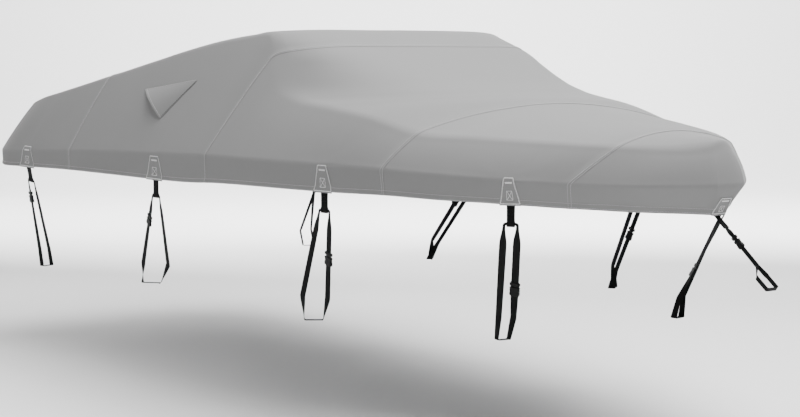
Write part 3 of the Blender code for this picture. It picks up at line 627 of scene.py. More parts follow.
def shade(tree, **inputs):
    """Sets or feeds the shader's inputs. An underscore stands for a space in a name."""
    shader = tree.nodes["Principled BSDF"]
    for name, value in inputs.items():
        join(tree, value, shader.inputs[name.replace("_", " ")])


def worn_roughness(tree, wear, roughness, spread):
    """A roughness that is uneven by that spread."""
    return math_node(tree, "ADD", math_node(tree, "MULTIPLY", wear, spread), roughness - spread / 2)


def relief(tree, height_socket, strength, distance):
    """A bump's normal, from a height."""
    inputs = {"Height": height_socket, "Strength": strength, "Distance": distance}
    return add_node(tree, "ShaderNodeBump", inputs).outputs["Normal"]


def woven_material(name, colour, look):
    """Woven cloth or webbing. look has its pitch, unevenness, roughness and relief, and how much
    painted shade darkens the weave's low threads.
    """
    material, tree, wear = new_material(name, look["patch_size"], look["speckle_size"])
    threads = add_node(tree, "ShaderNodeUVMap", uv_map="Cloth")
    weave = place_group(
        tree, weave_group(), threads.outputs["UV"], warp_pitch=look["warp"], weft_pitch=look["weft"]
    )
    uneven = look["uneven"]
    broad = mixed(tree, wear, shaded(colour, 1 - uneven), shaded(colour, 1 + uneven))
    # Painted shade: the colour darkens where the weave's threads lie low, as shade would fall between
    # them.
    weave_shade = mixed(tree, weave, shaded(colour, 1 - look["furrow"]), shaded(colour, 1))
    shade(
        tree,
        Base_Color=mixed(tree, 0.5, broad, weave_shade),
        Roughness=worn_roughness(tree, wear, look["roughness"], WOVEN_ROUGHNESS_SPREAD),
        Normal=relief(tree, weave, look["strength"], look["relief"]),
        Specular_IOR_Level=look["specular"],
        Sheen_Weight=look["sheen"],
        Sheen_Roughness=SHEEN_ROUGHNESS,
    )
    return material


def plain_material(name, colour, roughness, speckle_size, grain, specular):
    """Thread or moulded plastic: one colour with a fine grain."""
    material, tree, wear = new_material(name, speckle_size * GRAIN_PATCH, speckle_size)
    dark, light = GRAIN_TONES
    shade(
        tree,
        Base_Color=mixed(tree, wear, shaded(colour, dark), shaded(colour, light)),
        Roughness=worn_roughness(tree, wear, roughness, PLAIN_ROUGHNESS_SPREAD),
        Normal=relief(tree, wear, GRAIN_STRENGTH, grain),
        Specular_IOR_Level=specular,
    )
    return material


WOVEN_ROUGHNESS_SPREAD = 0.10
PLAIN_ROUGHNESS_SPREAD = 0.16
SHEEN_ROUGHNESS = 0.5
# The grain of thread and plastic: its patches in speckles, how dark and light it gets, its strength.
GRAIN_PATCH = 12
GRAIN_TONES = (0.82, 1.2)
GRAIN_STRENGTH = 0.4

# The share that darkens the weave's low threads is painted shade between the threads.
CLOTH_LOOK = {
    "warp": 0.0011, "weft": 0.0011, "patch_size": 0.6, "speckle_size": 0.012, "uneven": 0.05,
    "furrow": 0.14, "roughness": 0.82, "strength": 0.25, "relief": 0.0002, "sheen": 0.10,
    "specular": 0.5,
}
PATCH_LOOK = {**CLOTH_LOOK, "uneven": 0.03, "patch_size": 0.05}
WEBBING_LOOK = {
    "warp": 0.0026, "weft": 0.0017, "patch_size": 0.15, "speckle_size": 0.004, "uneven": 0.20,
    "furrow": 0.35, "roughness": 0.70, "strength": 0.7, "relief": 0.0004, "sheen": 0.0,
    "specular": 0.15,
}

# Which setting has a finish's colour, and its look.
WOVEN_FINISHES = {
    "cover cloth": ("cloth_colour", CLOTH_LOOK),
    "patch cloth": ("cloth_colour", PATCH_LOOK),
    "black webbing tape": ("webbing_colour", WEBBING_LOOK),
}
# Which setting has a finish's colour, how much lighter it is, and its roughness, speckle size,
# grain and specular level.
PLAIN_FINISHES = {
    "seam thread": ("thread_colour", 1, 0.6, 0.0006, 0.0001, 0.5),
    "patch thread": ("patch_thread_colour", 1, 0.6, 0.0006, 0.0001, 0.5),
    "black thread": ("webbing_colour", 1.6, 0.5, 0.0006, 0.0001, 0.2),
    "moulded black plastic": ("plastic_colour", 1, 0.45, 0.0012, 0.00008, 0.15),
}


def finish_of(name):
    """The material of that name, made when it is first asked for."""
    if name in bpy.data.materials:
        return bpy.data.materials[name]
    settings = bpy.context.scene.boat_cover
    if name in WOVEN_FINISHES:
        colour, look = WOVEN_FINISHES[name]
        return woven_material(name, tuple(getattr(settings, colour)), look)
    colour, lighter, *look = PLAIN_FINISHES[name]
    return plain_material(name, shaded(getattr(settings, colour), lighter), *look)


# ---------------------------------------------------------------- cloth meshes

# The outer skin of each finished sheet, as points and faces, for later pieces to lie on.
SKINS = {}


def new_cloth():
    """An empty sheet: its faces, their map in metres, and how far each point stands out."""
    cloth = bmesh.new()
    return cloth, cloth.loops.layers.uv.new("Cloth"), cloth.verts.layers.float.new("lift")


def add_grid(cloth, lines, maps, lifts):
    """Faces between neighbouring lines of points, with their map and their lift."""
    sheet, uv_layer, lift_layer = cloth
    grid = []
    for line, line_lifts in zip(lines, lifts):
        grid.append([sheet.verts.new(point) for point in line])
        for vert, lift in zip(grid[-1], line_lifts):
            vert[lift_layer] = lift
    for i in range(len(grid) - 1):
        for j in range(len(grid[i]) - 1):
            corners = ((i, j), (i + 1, j), (i + 1, j + 1), (i, j + 1))
            face = sheet.faces.new([grid[a][b] for a, b in corners])
            face.smooth = True
            for loop, (a, b) in zip(face.loops, corners):
                loop[uv_layer].uv = maps[a][b]


def runs_along(line):
    """How far along a line each of its points lies."""
    runs = [0.0]
    for before, after in zip(line, line[1:]):
        runs.append(runs[-1] + (after - before).length)
    return runs


def runs_from_middle(line):
    """How far along a line each of its points lies, measured from its middle point."""
    runs = runs_along(line)
    middle = runs[len(runs) // 2]
    return [run - middle for run in runs]


def points_of(line):
    """The points of a line whose entries each hold a point and something more."""
    return [entry[0] for entry in line]


def placed(name, data):
    """A new object in the scene."""
    made = bpy.data.objects.new(name, data)
    bpy.context.scene.collection.objects.link(made)
    return made


def from_mesh(name, mesh, finish):
    """An edited mesh as an object in the scene, in its one finish."""
    data = bpy.data.meshes.new(name)
    mesh.to_mesh(data)
    mesh.free()
    data.materials.append(finish)
    return placed(name, data)


def close_sheet(cloth, name, finish, outward, thickness_share=1, strays=None):
    """The sheet as an object: welded, turned outwards, raised by its lifts, thickened inwards."""
    sheet, _, lift_layer = cloth
    bmesh.ops.remove_doubles(sheet, verts=sheet.verts, dist=CLOTH_WELD)
    bmesh.ops.recalc_face_normals(sheet, faces=sheet.faces)
    sheet.normal_update()
    if sum(face.normal.dot(outward(face.calc_center_median())) for face in sheet.faces) < 0:
        bmesh.ops.reverse_faces(sheet, faces=sheet.faces)
        sheet.normal_update()
    for vert in sheet.verts:
        extra = strays(vert.co) if strays else 0.0
        vert.co += vert.normal * (vert[lift_layer] + extra)
    sheet.normal_update()
    area = sum(face.calc_area() for face in sheet.faces)
    made = from_mesh("cloth_" + name, sheet, finish_of(finish))
    points = [vert.co.copy() for vert in made.data.vertices]
    SKINS[name] = points, [list(face.vertices) for face in made.data.polygons]
    wall = made.modifiers.new("Cloth thickness", "SOLIDIFY")
    wall.thickness = bpy.context.scene.boat_cover.cloth_thickness * thickness_share
    wall.offset = -1.0
    wall.use_rim = True
    bake(made)
    tidy_normals(made.data, CLOTH_SHARP)
    return made, area


def plain_sheet(name, finish, grid, maps, outward, thickness_share=1):
    """A sheet from one grid of points, without lifts or slack."""
    cloth = new_cloth()
    add_grid(cloth, grid, maps, [[0.0] * len(row) for row in grid])
    return close_sheet(cloth, name, finish, outward, thickness_share)


def bake(made):
    """Replaces an object's mesh with what its modifiers make of it, and removes them."""
    graph = bpy.context.evaluated_depsgraph_get()
    graph.update()
    plain = bpy.data.meshes.new_from_object(made.evaluated_get(graph))
    made.modifiers.clear()
    old = made.data
    made.data = plain
    plain.name = made.name
    bpy.data.meshes.remove(old)


def tidy_normals(mesh, angle):
    """Smooth shading with sharp edges over an angle, in degrees."""
    mesh.shade_smooth()
    mesh.set_sharp_from_angle(angle=math.radians(angle))


def dress(made, nodes):
    """Says what a finished piece rides on, and hides the solids that it stands for."""
    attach(made, BODY)
    if nodes:
        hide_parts(*nodes)


# ---------------------------------------------------------------- panels

def slack_at(point):
    """The cloth's own soft unevenness: slack between supports, and the creases at the ties."""
    settings = bpy.context.scene.boat_cover
    broad = noise.noise(point * SLACK_WAVE)
    short = noise.noise(point * Vector(SHORT_WAVE) + Vector(SHORT_SHIFT))
    return settings.slack * ((1 - SHORT_SHARE) * broad + SHORT_SHARE * short) + tension_at(point)


@functools.lru_cache(maxsize=None)
def pull_points():
    """Where the ties pull on the cloth: each patch's top on the gunwale, on both sides."""
    found = []
    for values in TIES.values():
        point = gunwale_point(place_at(values[0]), -1)
        found += [point, Vector((point.x, -point.y, point.z))]
    return found


def tension_at(point):
    """Shallow creases that fan out from where a tie pulls on the cloth."""
    settings = bpy.context.scene.boat_cover
    total = 0.0
    for pull in pull_points():
        offset = point - pull
        distance = offset.length
        if distance > CREASE_REACH:
            continue
        turn = math.atan2(offset.z, offset.x)
        fade = math.exp(-distance / CREASE_FADE) * min(1.0, distance / CREASE_START)
        total += settings.crease * fade * math.cos(CREASE_FOLDS * turn + CREASE_TURN * pull.x)
    return total


def row_places(name):
    """The places of a panel's rows, closer together at its lapped seams."""
    first, last = (KNOTS[station] for station in PANELS[name])
    low = first - LAP if first > FIRST else first
    high = last + LAP if last < LAST else last
    count = max(LEAST_ROWS, round((high - low) / ROW_PITCH))
    places = {low + (high - low) * i / count for i in range(count + 1)}
    marks = []
    if last < LAST:
        marks = [last - LAP - LAP_RAMP, last - LAP, last, last + LAP]
    if first > FIRST:
        marks += [first - LAP, first, first + LAP, first + LAP + LAP_RAMP]
    kept = [p for p in places if all(abs(p - m) > ROW_PITCH * ROW_CLEARANCE for m in marks)]
    return sorted({*kept, *marks})


def seam_lift(name, place):
    """How far a panel's rows stand out where it laps over the next one forward."""
    last = KNOTS[PANELS[name][1]]
    if last == LAST:
        return 0.0
    t = (place - (last - LAP - LAP_RAMP)) / LAP_RAMP
    lift = bpy.context.scene.boat_cover.cloth_thickness * LAP_LIFT
    return lift * eased(min(max(t, 0.0), 1.0))


def panel(name):
    """One cloth panel, from seam to seam and from hem to hem."""
    cloth = new_cloth()
    places = row_places(name)
    lines, maps, lifts = [], [], []
    for place in places:
        line = hoop(place)
        lines.append(points_of(line))
        maps.append([(place, run) for run in runs_from_middle(lines[-1])])
        lifts.append([out + seam_lift(name, place) for _, out in line])
    add_grid(cloth, lines, maps, lifts)
    for end, inward in ((FIRST, 1), (LAST, -1)):
        if end not in places:
            continue
        ribs = [rib(end, across) for across in across_steps()]
        lines = [points_of(line) for line in ribs]
        maps = []
        for line in lines:
            runs = runs_from_middle(line)
            maps.append([(end - inward * (run - runs[0]), line[0].y) for run in runs])
        lifts = [[out for _, out in line] for line in ribs]
        add_grid(cloth, lines, maps, lifts)
    middle = points_of(hoop(places[len(places) // 2]))
    centre_x = sum(point.x for point in middle) / len(middle)
    centre = Vector((centre_x, 0, height(INSIDE_HEIGHT)))
    made, area = close_sheet(
        cloth, name, "cover cloth", lambda point: point - centre, strays=slack_at
    )
    width = max(runs_from_middle(points_of(hoop(place)))[-1] * 2 for place in places)
    dress(made, [name])


# ---------------------------------------------------------------- laying things on the cloth

@functools.lru_cache(maxsize=None)
def skin_over(*names):
    """One skin to lay things on, from the outer faces of the sheets with these names."""
    points, faces = [], []
    for name in names:
        start = len(points)
        points += SKINS[name][0]
        faces += [[start + v for v in face] for face in SKINS[name][1]]
    return BVHTree.FromPolygons(points, faces)


def whole_skin():
    """The skin of the whole cover."""
    return skin_over(*PANELS)


def on_skin(skin, start, direction):
    """Where a straight line first meets a skin, and the skin's direction there."""
    point, normal, _, _ = skin.ray_cast(start, direction)
    if point is None:
        raise RuntimeError(f"no cloth is met from {tuple(start)}")
    return point, -normal if normal.dot(direction) > 0 else normal


def laid_on(skin, line, raised):
    """A line's points moved to the nearest place on a skin and raised off it, with their normals."""
    laid = []
    for point in line:
        at, normal, _, _ = skin.find_nearest(point)
        laid.append((at + normal * raised, normal))
    return laid


def to_side(vector, side):
    """A vector of the starboard side, or its mirror image for the port side."""
    return vector.copy() if side == "starboard" else Vector((vector.x, -vector.y, vector.z))


# ---------------------------------------------------------------- stitches

def stitch_tree():
    """Geometry nodes that lay a spindle of thread along each edge of a mesh of bare edges."""
    name = "Stitches"
    if name in bpy.data.node_groups:
        return bpy.data.node_groups[name]
    tree = bpy.data.node_groups.new(name, "GeometryNodeTree")
    add_socket(tree, "Geometry", "NodeSocketGeometry")
    add_socket(tree, "Thickness", value=0.001)
    add_socket(tree, "Fullness", value=1.0)
    add_socket(tree, "Thread", "NodeSocketMaterial")
    add_socket(tree, "Geometry", "NodeSocketGeometry", in_out="OUTPUT")
    source = tree.nodes.new("NodeGroupInput")
    ends = tree.nodes.new("GeometryNodeInputMeshEdgeVertices").outputs
    both = {0: ends["Position 2"], 1: ends["Position 1"]}
    along = add_node(tree, "ShaderNodeVectorMath", both, operation="SUBTRACT")
    bare = {"Geometry": source.outputs["Geometry"]}
    kept = add_node(tree, "GeometryNodeCaptureAttribute", bare, domain="EDGE")
    kept.capture_items.new("VECTOR", "Along")
    join(tree, along.outputs[0], kept.inputs["Along"])
    edges, each_way = kept.outputs["Geometry"], kept.outputs["Along"]
    middles = add_node(tree, "GeometryNodeMeshToPoints", {"Mesh": edges}, mode="EDGES")
    turn = add_node(tree, "FunctionNodeAlignRotationToVector", {"Vector": each_way}, axis="Z")
    run = add_node(tree, "ShaderNodeVectorMath", {0: each_way}, operation="LENGTH")
    size = add_node(tree, "ShaderNodeCombineXYZ", {
        "X": source.outputs["Thickness"],
        "Y": source.outputs["Thickness"],
        "Z": math_node(tree, "MULTIPLY", run.outputs["Value"], source.outputs["Fullness"]),
    })
    laid = add_node(tree, "GeometryNodeInstanceOnPoints", {
        "Points": middles.outputs["Points"],
        "Instance": add_node(tree, "GeometryNodeMeshUVSphere", SPINDLE).outputs["Mesh"],
        "Rotation": turn.outputs["Rotation"],
        "Scale": size.outputs[0],
    })
    real = add_node(tree, "GeometryNodeRealizeInstances", {"Geometry": laid.outputs["Instances"]})
    paint = add_node(tree, "GeometryNodeSetMaterial", {
        "Geometry": real.outputs["Geometry"], "Material": source.outputs["Thread"],
    })
    add_node(tree, "NodeGroupOutput", {"Geometry": paint.outputs["Geometry"]})
    return tree


def set_inputs(modifier, **values):
    """Sets a Geometry Nodes modifier's inputs by their identifiers."""
    for item in modifier.node_group.interface.items_tree:
        if item.item_type == "SOCKET" and item.in_out == "INPUT" and item.name.lower() in values:
            modifier[item.identifier] = values[item.name.lower()]


def stitches(name, threads, thickness, thread="seam thread"):
    """Stitches as one piece. threads holds each stitch's two ends."""
    mesh = bpy.data.meshes.new(name)
    points = [end for stitch in threads for end in stitch]
    mesh.from_pydata(points, [(2 * k, 2 * k + 1) for k in range(len(threads))], [])
    made = placed(name, mesh)
    modifier = made.modifiers.new("Stitches", "NODES")
    modifier.node_group = stitch_tree()
    set_inputs(modifier, thickness=thickness, fullness=STITCH_FULLNESS, thread=finish_of(thread))
    bake(made)
    made.data.shade_smooth()
    dress(made, [])


def running_stitches(line, pitch):
    """Stitches end to end along a line of points, with a gap between them."""
    threads = []
    runs = runs_along(line)
    k = 0

    def at(run):
        """The point at a run along the line, which only ever moves forward."""
        nonlocal k
        while k < len(runs) - 2 and runs[k + 1] < run:
            k += 1
        span = runs[k + 1] - runs[k]
        return line[k].lerp(line[k + 1], (run - runs[k]) / span if span else 0.0)

    for i in range(int(runs[-1] / pitch)):
        start = at(i * pitch)
        threads.append((start, at((i + STITCH_SHARE) * pitch)))
    return threads


def sewn_on(skin, line, pitch):
    """Running stitches along a line, laid on a skin."""
    raised = bpy.context.scene.boat_cover.thread_thickness * STITCH_RAISE
    return running_stitches(points_of(laid_on(skin, line, raised)), pitch)


def zigzag_stitches(laid, width, pitch):
    """A zigzag of that width along points laid on the cloth: each stitch runs from side to side."""
    corners = []
    side, run, target = 1, 0.0, 0.0
    for (start, normal), (end, _) in zip(laid, laid[1:]):
        step = (end - start).length
        if step < LEAST_STEP:
            continue
        along = (end - start) / step
        across = normal.cross(along).normalized()
        while target <= run + step:
            corners.append(start + along * (target - run) + across * side * width / 2)
            side = -side
            target += pitch / 2
        run += step
    return list(zip(corners, corners[1:]))


def seam_stitches():
    """Two rows of stitches along each lapped seam, on the panel that lies on top."""
    settings = bpy.context.scene.boat_cover
    on_top = {last: name for name, (_, last) in PANELS.items()}
    for seam in SEAMS:
        skin = skin_over(on_top[seam])
        threads = []
        for share in LAP_STITCHES:
            line = points_of(hoop(KNOTS[seam] + LAP * share))
            threads += sewn_on(skin, line, settings.stitch_pitch)
        stitches("stitches_" + seam, threads, settings.thread_thickness)


def hem_line(up):
    """A closed line round the hem, that far above its edge and just outside the cloth."""
    def at(place, across):
        """The point above the hem at one place of the rim."""
        inward = inward_direction(place, across)
        foot = hem_foot(place, across, inward)
        toward_gunwale = (gunwale_point(place, across) - foot).normalized()
        return foot + toward_gunwale * up - inward * HEM_STITCHES_OUT

    count = round((LAST - FIRST) / HEM_LINE_PITCH)
    places = [FIRST + (LAST - FIRST) * i / count for i in range(count + 1)]
    inside = across_steps()[1:-1]
    line = [at(place, -1.0) for place in places] + [at(LAST, across) for across in inside]
    line += [at(place, 1.0) for place in reversed(places)]
    line += [at(FIRST, across) for across in reversed(inside)]
    return line + line[:1]


def hem_stitches():
    """The two rows of stitches that close the rolled hem."""
    settings = bpy.context.scene.boat_cover
    for name, up in HEM_STITCHES.items():
        threads = sewn_on(whole_skin(), hem_line(up), settings.stitch_pitch)
        stitches("stitches_hem_" + name, threads, settings.thread_thickness)


# ---------------------------------------------------------------- patches

def hem_frame(gunwale_x):
    """The hem below a place on the starboard gunwale: its point, and the skirt's own axes."""
    place = place_at(gunwale_x)
    along = gunwale_point(place + HEM_PROBE, -1) - gunwale_point(place - HEM_PROBE, -1)
    inward = Vector((-along.y, along.x, 0)).normalized()
    foot = hem_foot(place, -1, inward)
    outward = along.cross(gunwale_point(place, -1) - foot).normalized()
    if outward.dot(inward) > 0:
        outward = -outward
    forward = outward.cross(Vector((0, 0, -1))).normalized()
    up = forward.cross(outward).normalized()
    if up.z < 0:
        up = -up
    return foot + up * HEM_MARGIN, outward, forward, up


def patch_sheet(title, grid, outward):
    """A patch from a grid of points on the cloth, rows from its foot to its top."""
    heights = runs_from_middle([row[len(row) // 2] for row in grid])
    maps = [[(run, up) for run in runs_from_middle(row)] for row, up in zip(grid, heights)]
    made, area = plain_sheet(title, "patch cloth", grid, maps, outward, PATCH_THINNER)
    dress(made, [title])


def grid_at(grid, s, t):
    """A point of a patch's grid at shares s across it and t up it."""
    x = min(max(s, 0), 1) * (len(grid[0]) - 1)
    y = min(max(t, 0), 1) * (len(grid) - 1)
    i, j = min(int(y), len(grid) - 2), min(int(x), len(grid[0]) - 2)
    low = grid[i][j].lerp(grid[i][j + 1], x - j)
    high = grid[i + 1][j].lerp(grid[i + 1][j + 1], x - j)
    return low.lerp(high, y - i)


def grid_line(grid, corners):
    """A line on a patch through corners that are given as shares across and up."""
    line = []
    steps = PATCH_LINE_STEPS
    for (s0, t0), (s1, t1) in zip(corners, corners[1:]):
        for k in range(steps):
            line.append(grid_at(grid, s0 + (s1 - s0) * k / steps, t0 + (t1 - t0) * k / steps))
    return line + [grid_at(grid, *corners[-1])]


def patch_stitches(title, grid):
    """A patch's stitching: a zigzag round it, a bar near its top and a crossed box below."""
    settings = bpy.context.scene.boat_cover
    wide = runs_from_middle(grid[0])[-1] * 2
    tall = (grid[0][len(grid[0]) // 2] - grid[-1][len(grid[0]) // 2]).length
    s, t = EDGE_INSET / wide, EDGE_INSET / tall
    s_top = s / PATCH_TOP_SHARE
    edge = [(s, t), (1 - s, t), (1 - s_top, 1 - t), (s_top, 1 - t), (s, t)]
    low, high = BOX_SHARES
    left, right = 0.5 - BOX_HALF_SHARE, 0.5 + BOX_HALF_SHARE
    box = [(left, low), (right, low), (right, high), (left, high), (left, low)]
    diagonals = [(left, low), (right, high)], [(left, high), (right, low)]
    bar = [(0.5 - BAR_HALF_SHARE, BAR_SHARE), (0.5 + BAR_HALF_SHARE, BAR_SHARE)]
    skin = skin_over(title)
    raised = settings.patch_thread * PATCH_STITCH_RAISE
    threads = []
    for corners, width, pitch in (
        (edge, EDGE_STITCH_WIDTH, EDGE_STITCH_PITCH),
        *((line, BOX_STITCH_WIDTH, EDGE_STITCH_PITCH) for line in (box, *diagonals)),
        (bar, BAR_STITCH_WIDTH, BAR_STITCH_PITCH),
    ):
        threads += zigzag_stitches(laid_on(skin, grid_line(grid, corners), raised), width, pitch)
    stitches("stitches_" + title, threads, settings.patch_thread, thread="patch thread")


def side_patch(name, side):
    """A patch on the side skirt, laid on the cloth and turned under the hem."""
    settings = bpy.context.scene.boat_cover
    tie = dict(zip(TIE_COLUMNS, TIES[name]))
    foot, outward, forward, up = (to_side(v, side) for v in hem_frame(tie["gunwale_x"]))
    inward = Vector((-outward.x, -outward.y, 0)).normalized()
    grid = []
    for i in range(PATCH_ROWS + 1):
        share = i / PATCH_ROWS
        width = tie["patch_width"] * (1 - (1 - PATCH_TOP_SHARE) * share)
        row = []
        for j in range(PATCH_COLUMNS + 1):
            at = foot + forward * width * (j / PATCH_COLUMNS - 0.5)
            at += up * (PATCH_FOOT + PATCH_TALL * share)
            point, normal = on_skin(whole_skin(), at - inward, inward)
            row.append(point + normal * settings.patch_lift)
        grid.append(row)
    grid.insert(0, [point - up * (PATCH_FOOT + PATCH_OVERHANG) for point in grid[0]])
    title = f"patch_{name}_{side}"
    patch_sheet(title, grid, lambda _: outward)
    patch_stitches(title, grid)


def bow_patch():
    """The patch that wraps the stem, laid out by turning round an upright axis inside it."""
    settings = bpy.context.scene.boat_cover
    row = station_at(LAST)
    gunwale = gunwale_point(LAST, 0)
    centre_x = gunwale.x - row["tuck"] - BOW_PATCH_RADIUS
    turns = [BOW_PATCH_SPREAD * (2 * j / BOW_PATCH_COLUMNS - 1) for j in range(BOW_PATCH_COLUMNS + 1)]
    grid = []
    for i in range(PATCH_ROWS + 1):
        share = i / PATCH_ROWS
        narrowed = 1 - (1 - PATCH_TOP_SHARE) * share
        z = gunwale.z - row["drop"] * (1 - BOW_PATCH_SHARE * share) + PATCH_FOOT
        line = []
        for turn in turns:
            ray = Vector((math.cos(turn * narrowed), math.sin(turn * narrowed), 0))
            point, normal = on_skin(whole_skin(), Vector((centre_x, 0, z)) + ray, -ray)
            line.append(point + normal * settings.patch_lift)
        grid.append(line)
    foot = []
    for turn, point in zip(turns, grid[0]):
        inward = Vector((-math.cos(turn), -math.sin(turn), 0))
        down = (inward * row["tuck"] - Vector((0, 0, row["drop"]))).normalized()
        foot.append(point + down * (PATCH_FOOT + PATCH_OVERHANG))
    grid.insert(0, foot)
    axis = Vector((centre_x, 0, 0))
    patch_sheet("patch_bow", grid, lambda point: Vector((point.x, point.y, 0)) - axis)
    patch_stitches("patch_bow", grid)


# ---------------------------------------------------------------- webbing

def band_section(half_width, half_thickness, pleat):
    """A band's cross-section as (across, through) pairs, with rounded edges and any pleats."""
    upper, lower = [], []
    for k in range(BAND_STEPS + 1):
        s = -1 + 2 * k / BAND_STEPS
        wave = pleat * math.cos(2 * math.pi * s)
        edge = max(0.0, (abs(s) - BAND_EDGE) / (1 - BAND_EDGE))
        through = half_thickness * math.sqrt(1 - BAND_ROUNDING * edge * edge)
        upper.append((half_width * s, wave + through))
        lower.append((half_width * s, wave - through))
    return upper + lower[::-1]


def add_band(mesh, uv_layer, path, full):
    """One closed band along a path of (point, facing, half sizes). Returns its length.

    facing is what its flat side faces, and full its half sizes where it isn't gathered.
    """
    rings = []
    runs = runs_along(points_of(path))
    for k, (point, facing, half) in enumerate(path):
        along = (path[min(k + 1, len(path) - 1)][0] - path[max(k - 1, 0)][0]).normalized()
        width_axis = facing.cross(along).normalized()
        through = along.cross(width_axis)
        section = band_section(half[0], min(half[1], full[1]), max(half[1] - full[1], 0.0))
        verts = [mesh.verts.new(point + width_axis * a + through * b) for a, b in section]
        spread = full[0] / half[0]
        rings.append((verts, [(a * spread, runs[k]) for a, _ in section]))
    count = len(rings[0][0])
    for (ring_a, map_a), (ring_b, map_b) in zip(rings, rings[1:]):
        for j in range(count):
            k = (j + 1) % count
            face = mesh.faces.new((ring_a[j], ring_a[k], ring_b[k], ring_b[j]))
            for loop, place in zip(face.loops, (map_a[j], map_a[k], map_b[k], map_b[j])):
                loop[uv_layer].uv = place
    for verts, places in (rings[0], rings[-1]):
        face = mesh.faces.new(verts)
        for loop, place in zip(face.loops, places):
            loop[uv_layer].uv = place
    return runs[-1]


def webbing(title, paths, full):
    """Webbing along its paths as one piece, which replaces the solid with that name."""
    mesh = bmesh.new()
    uv_layer = mesh.loops.layers.uv.new("Cloth")
    length = sum(add_band(mesh, uv_layer, path, full) for path in paths)
    bmesh.ops.recalc_face_normals(mesh, faces=mesh.faces)
    made = from_mesh("webbing_" + title, mesh, finish_of("black webbing tape"))
    tidy_normals(made.data, WEBBING_SHARP)
    dress(made, [title])


def spread_half(distance):
    """The strap's half sizes at this distance below the tab."""
    t = eased(min(distance / SPREAD_LENGTH, 1))
    return tuple(a + (b - a) * t for a, b in zip(GATHERED_HALF, STRAP_HALF))


def straight_run(start, end, facing_start, facing_end, half_at=None):
    """Evenly spaced stations from start to end, without the start itself."""
    count = max(1, round((end - start).length / RING_LENGTH))
    stations = []
    for i in range(1, count + 1):
        t = i / count
        point = start.lerp(end, t)
        half = half_at((point - start).length) if half_at else STRAP_HALF
        stations.append((point, facing_start.lerp(facing_end, t).normalized(), half))
    return stations


def foot_bend(before, corner, after, facing_in, facing_out, half=STRAP_HALF):
    """Stations round one corner of what a strap is tied to."""
    stations = []
    for i, point in enumerate(round_corner(before, corner, after, FOOT_RADIUS, BEND_STEPS)):
        facing = facing_in.lerp(facing_out, i / BEND_STEPS).normalized()
        stations.append((point, facing, half))
    return stations


def tie_frame(name):
    """What a starboard side tie hangs from: its slot's middle and its axes."""
    tie = dict(zip(TIE_COLUMNS, TIES[name]))
    for corner in ("outer_top", "outer_foot", "inner_foot", "inner_top"):
        tie[corner] = Vector(tie[corner])
    foot, outward, forward, up = hem_frame(tie["gunwale_x"])
    root = foot - outward * TAB_DEPTH
    pull = Vector(tie["hang"]).normalized()
    across = (forward - pull * forward.dot(pull)).normalized()
    facing = across.cross(pull).normalized()
    if facing.dot(outward) < 0:
        facing = -facing
    tie.update(root=root, top=root + up * TAB_TUCK, slot=root + pull * TAB_LENGTH)
    tie.update(skirt=outward, pull=pull, across=across, facing=facing)
    return tie


def tab_path(tie):
    """The tab's webbing: down behind the skirt, round the strap and up again."""
    facing, pull, middle = tie["facing"], tie["pull"], tie["slot"]
    half = (tie["tab_width"] / 2, TAB_HALF_THICKNESS)
    deep, tall = FOLD_OUTER[0] - half[1], FOLD_OUTER[1] - half[1]
    down = [(tie["top"] + tie["skirt"] * TAB_GAP, tie["skirt"], half)]
    neck = middle - pull * (tall + TAB_NECK)
    for share in TAB_STATIONS:
        down.append((tie["root"].lerp(neck, share) + facing * TAB_GAP, facing, half))
    up = [(point - toward * 2 * TAB_GAP, -toward, half) for point, toward, _ in down][::-1]
    # The fold leaves out its first and last steps, where the tab's two layers meet it.
    fold = []
    for k in range(2, FOLD_STEPS - 1):
        turn = 2 * math.pi * k / FOLD_STEPS
        point = middle - pull * tall * math.cos(turn) + facing * deep * math.sin(turn)
        toward = (facing * math.sin(turn) / deep - pull * math.cos(turn) / tall).normalized()
        fold.append((point, toward, half))
    return down + fold + up


def strap_path(tie):
    """The strap through a side tab and round the rail, with its buckle's place and direction."""
    slot, across, pull, outward = tie["slot"], tie["across"], tie["pull"], tie["facing"]
    rail_out = (tie["outer_foot"] - tie["inner_foot"]).normalized()
    if tie["buckle_leg"] == "outer":
        side, near, far, under = -1, "outer", "inner", Vector((0, 0, 1))
    else:
        side, near, far, under = 1, "inner", "outer", Vector((0, 0, -1))
    near_top, near_foot, far_top, far_foot = (
        tie[corner] for corner in (near + "_top", near + "_foot", far + "_top", far + "_foot")
    )
    level = tie["tab_width"] / 2 + ARCH_CLEARANCE
    shoulders = [slot + across * side * s * (level + ARCH_RADIUS) for s in (1, -1)]
    leg_starts = [shoulder + pull * ARCH_RADIUS for shoulder in shoulders]
    leg = (near_top - leg_starts[0]).normalized()
    buckle = leg_starts[0].lerp(near_top, tie["buckle_at"])
    path = straight_run(leg_starts[0], buckle - leg * BUCKLE_GRIP, outward, outward, spread_half)[::-1]
    arch = bend(leg_starts[0], shoulders[0], slot + across * side * level, BEND_STEPS)
    arch += bend(slot - across * side * level, shoulders[1], leg_starts[1], BEND_STEPS)
    path += [(point, outward, GATHERED_HALF) for point in arch]
    path += straight_run(leg_starts[1], far_top, outward, LEG_FACING, spread_half)
    turn = far_foot + (far_top - far_foot).normalized() * FOOT_RADIUS
    path += straight_run(far_top, turn, LEG_FACING, rail_out)[:-1]
    path += foot_bend(far_top, far_foot, near_foot, rail_out, under)
    path += foot_bend(far_foot, near_foot, near_top, under, -rail_out)
    mouth = buckle + leg * BUCKLE_MOUTH
    path += straight_run(path[-1][0], near_top, -rail_out, -LEG_FACING)
    path += straight_run(near_top, mouth, -LEG_FACING, -outward)
    path.append((buckle + leg * BUCKLE_GRIP, -outward, STRAP_HALF))
    return path, buckle, leg


def path_to_side(path, side):
    """A band's path on the starboard side, or mirrored to port."""
    return [(to_side(point, side), to_side(facing, side), half) for point, facing, half in path]


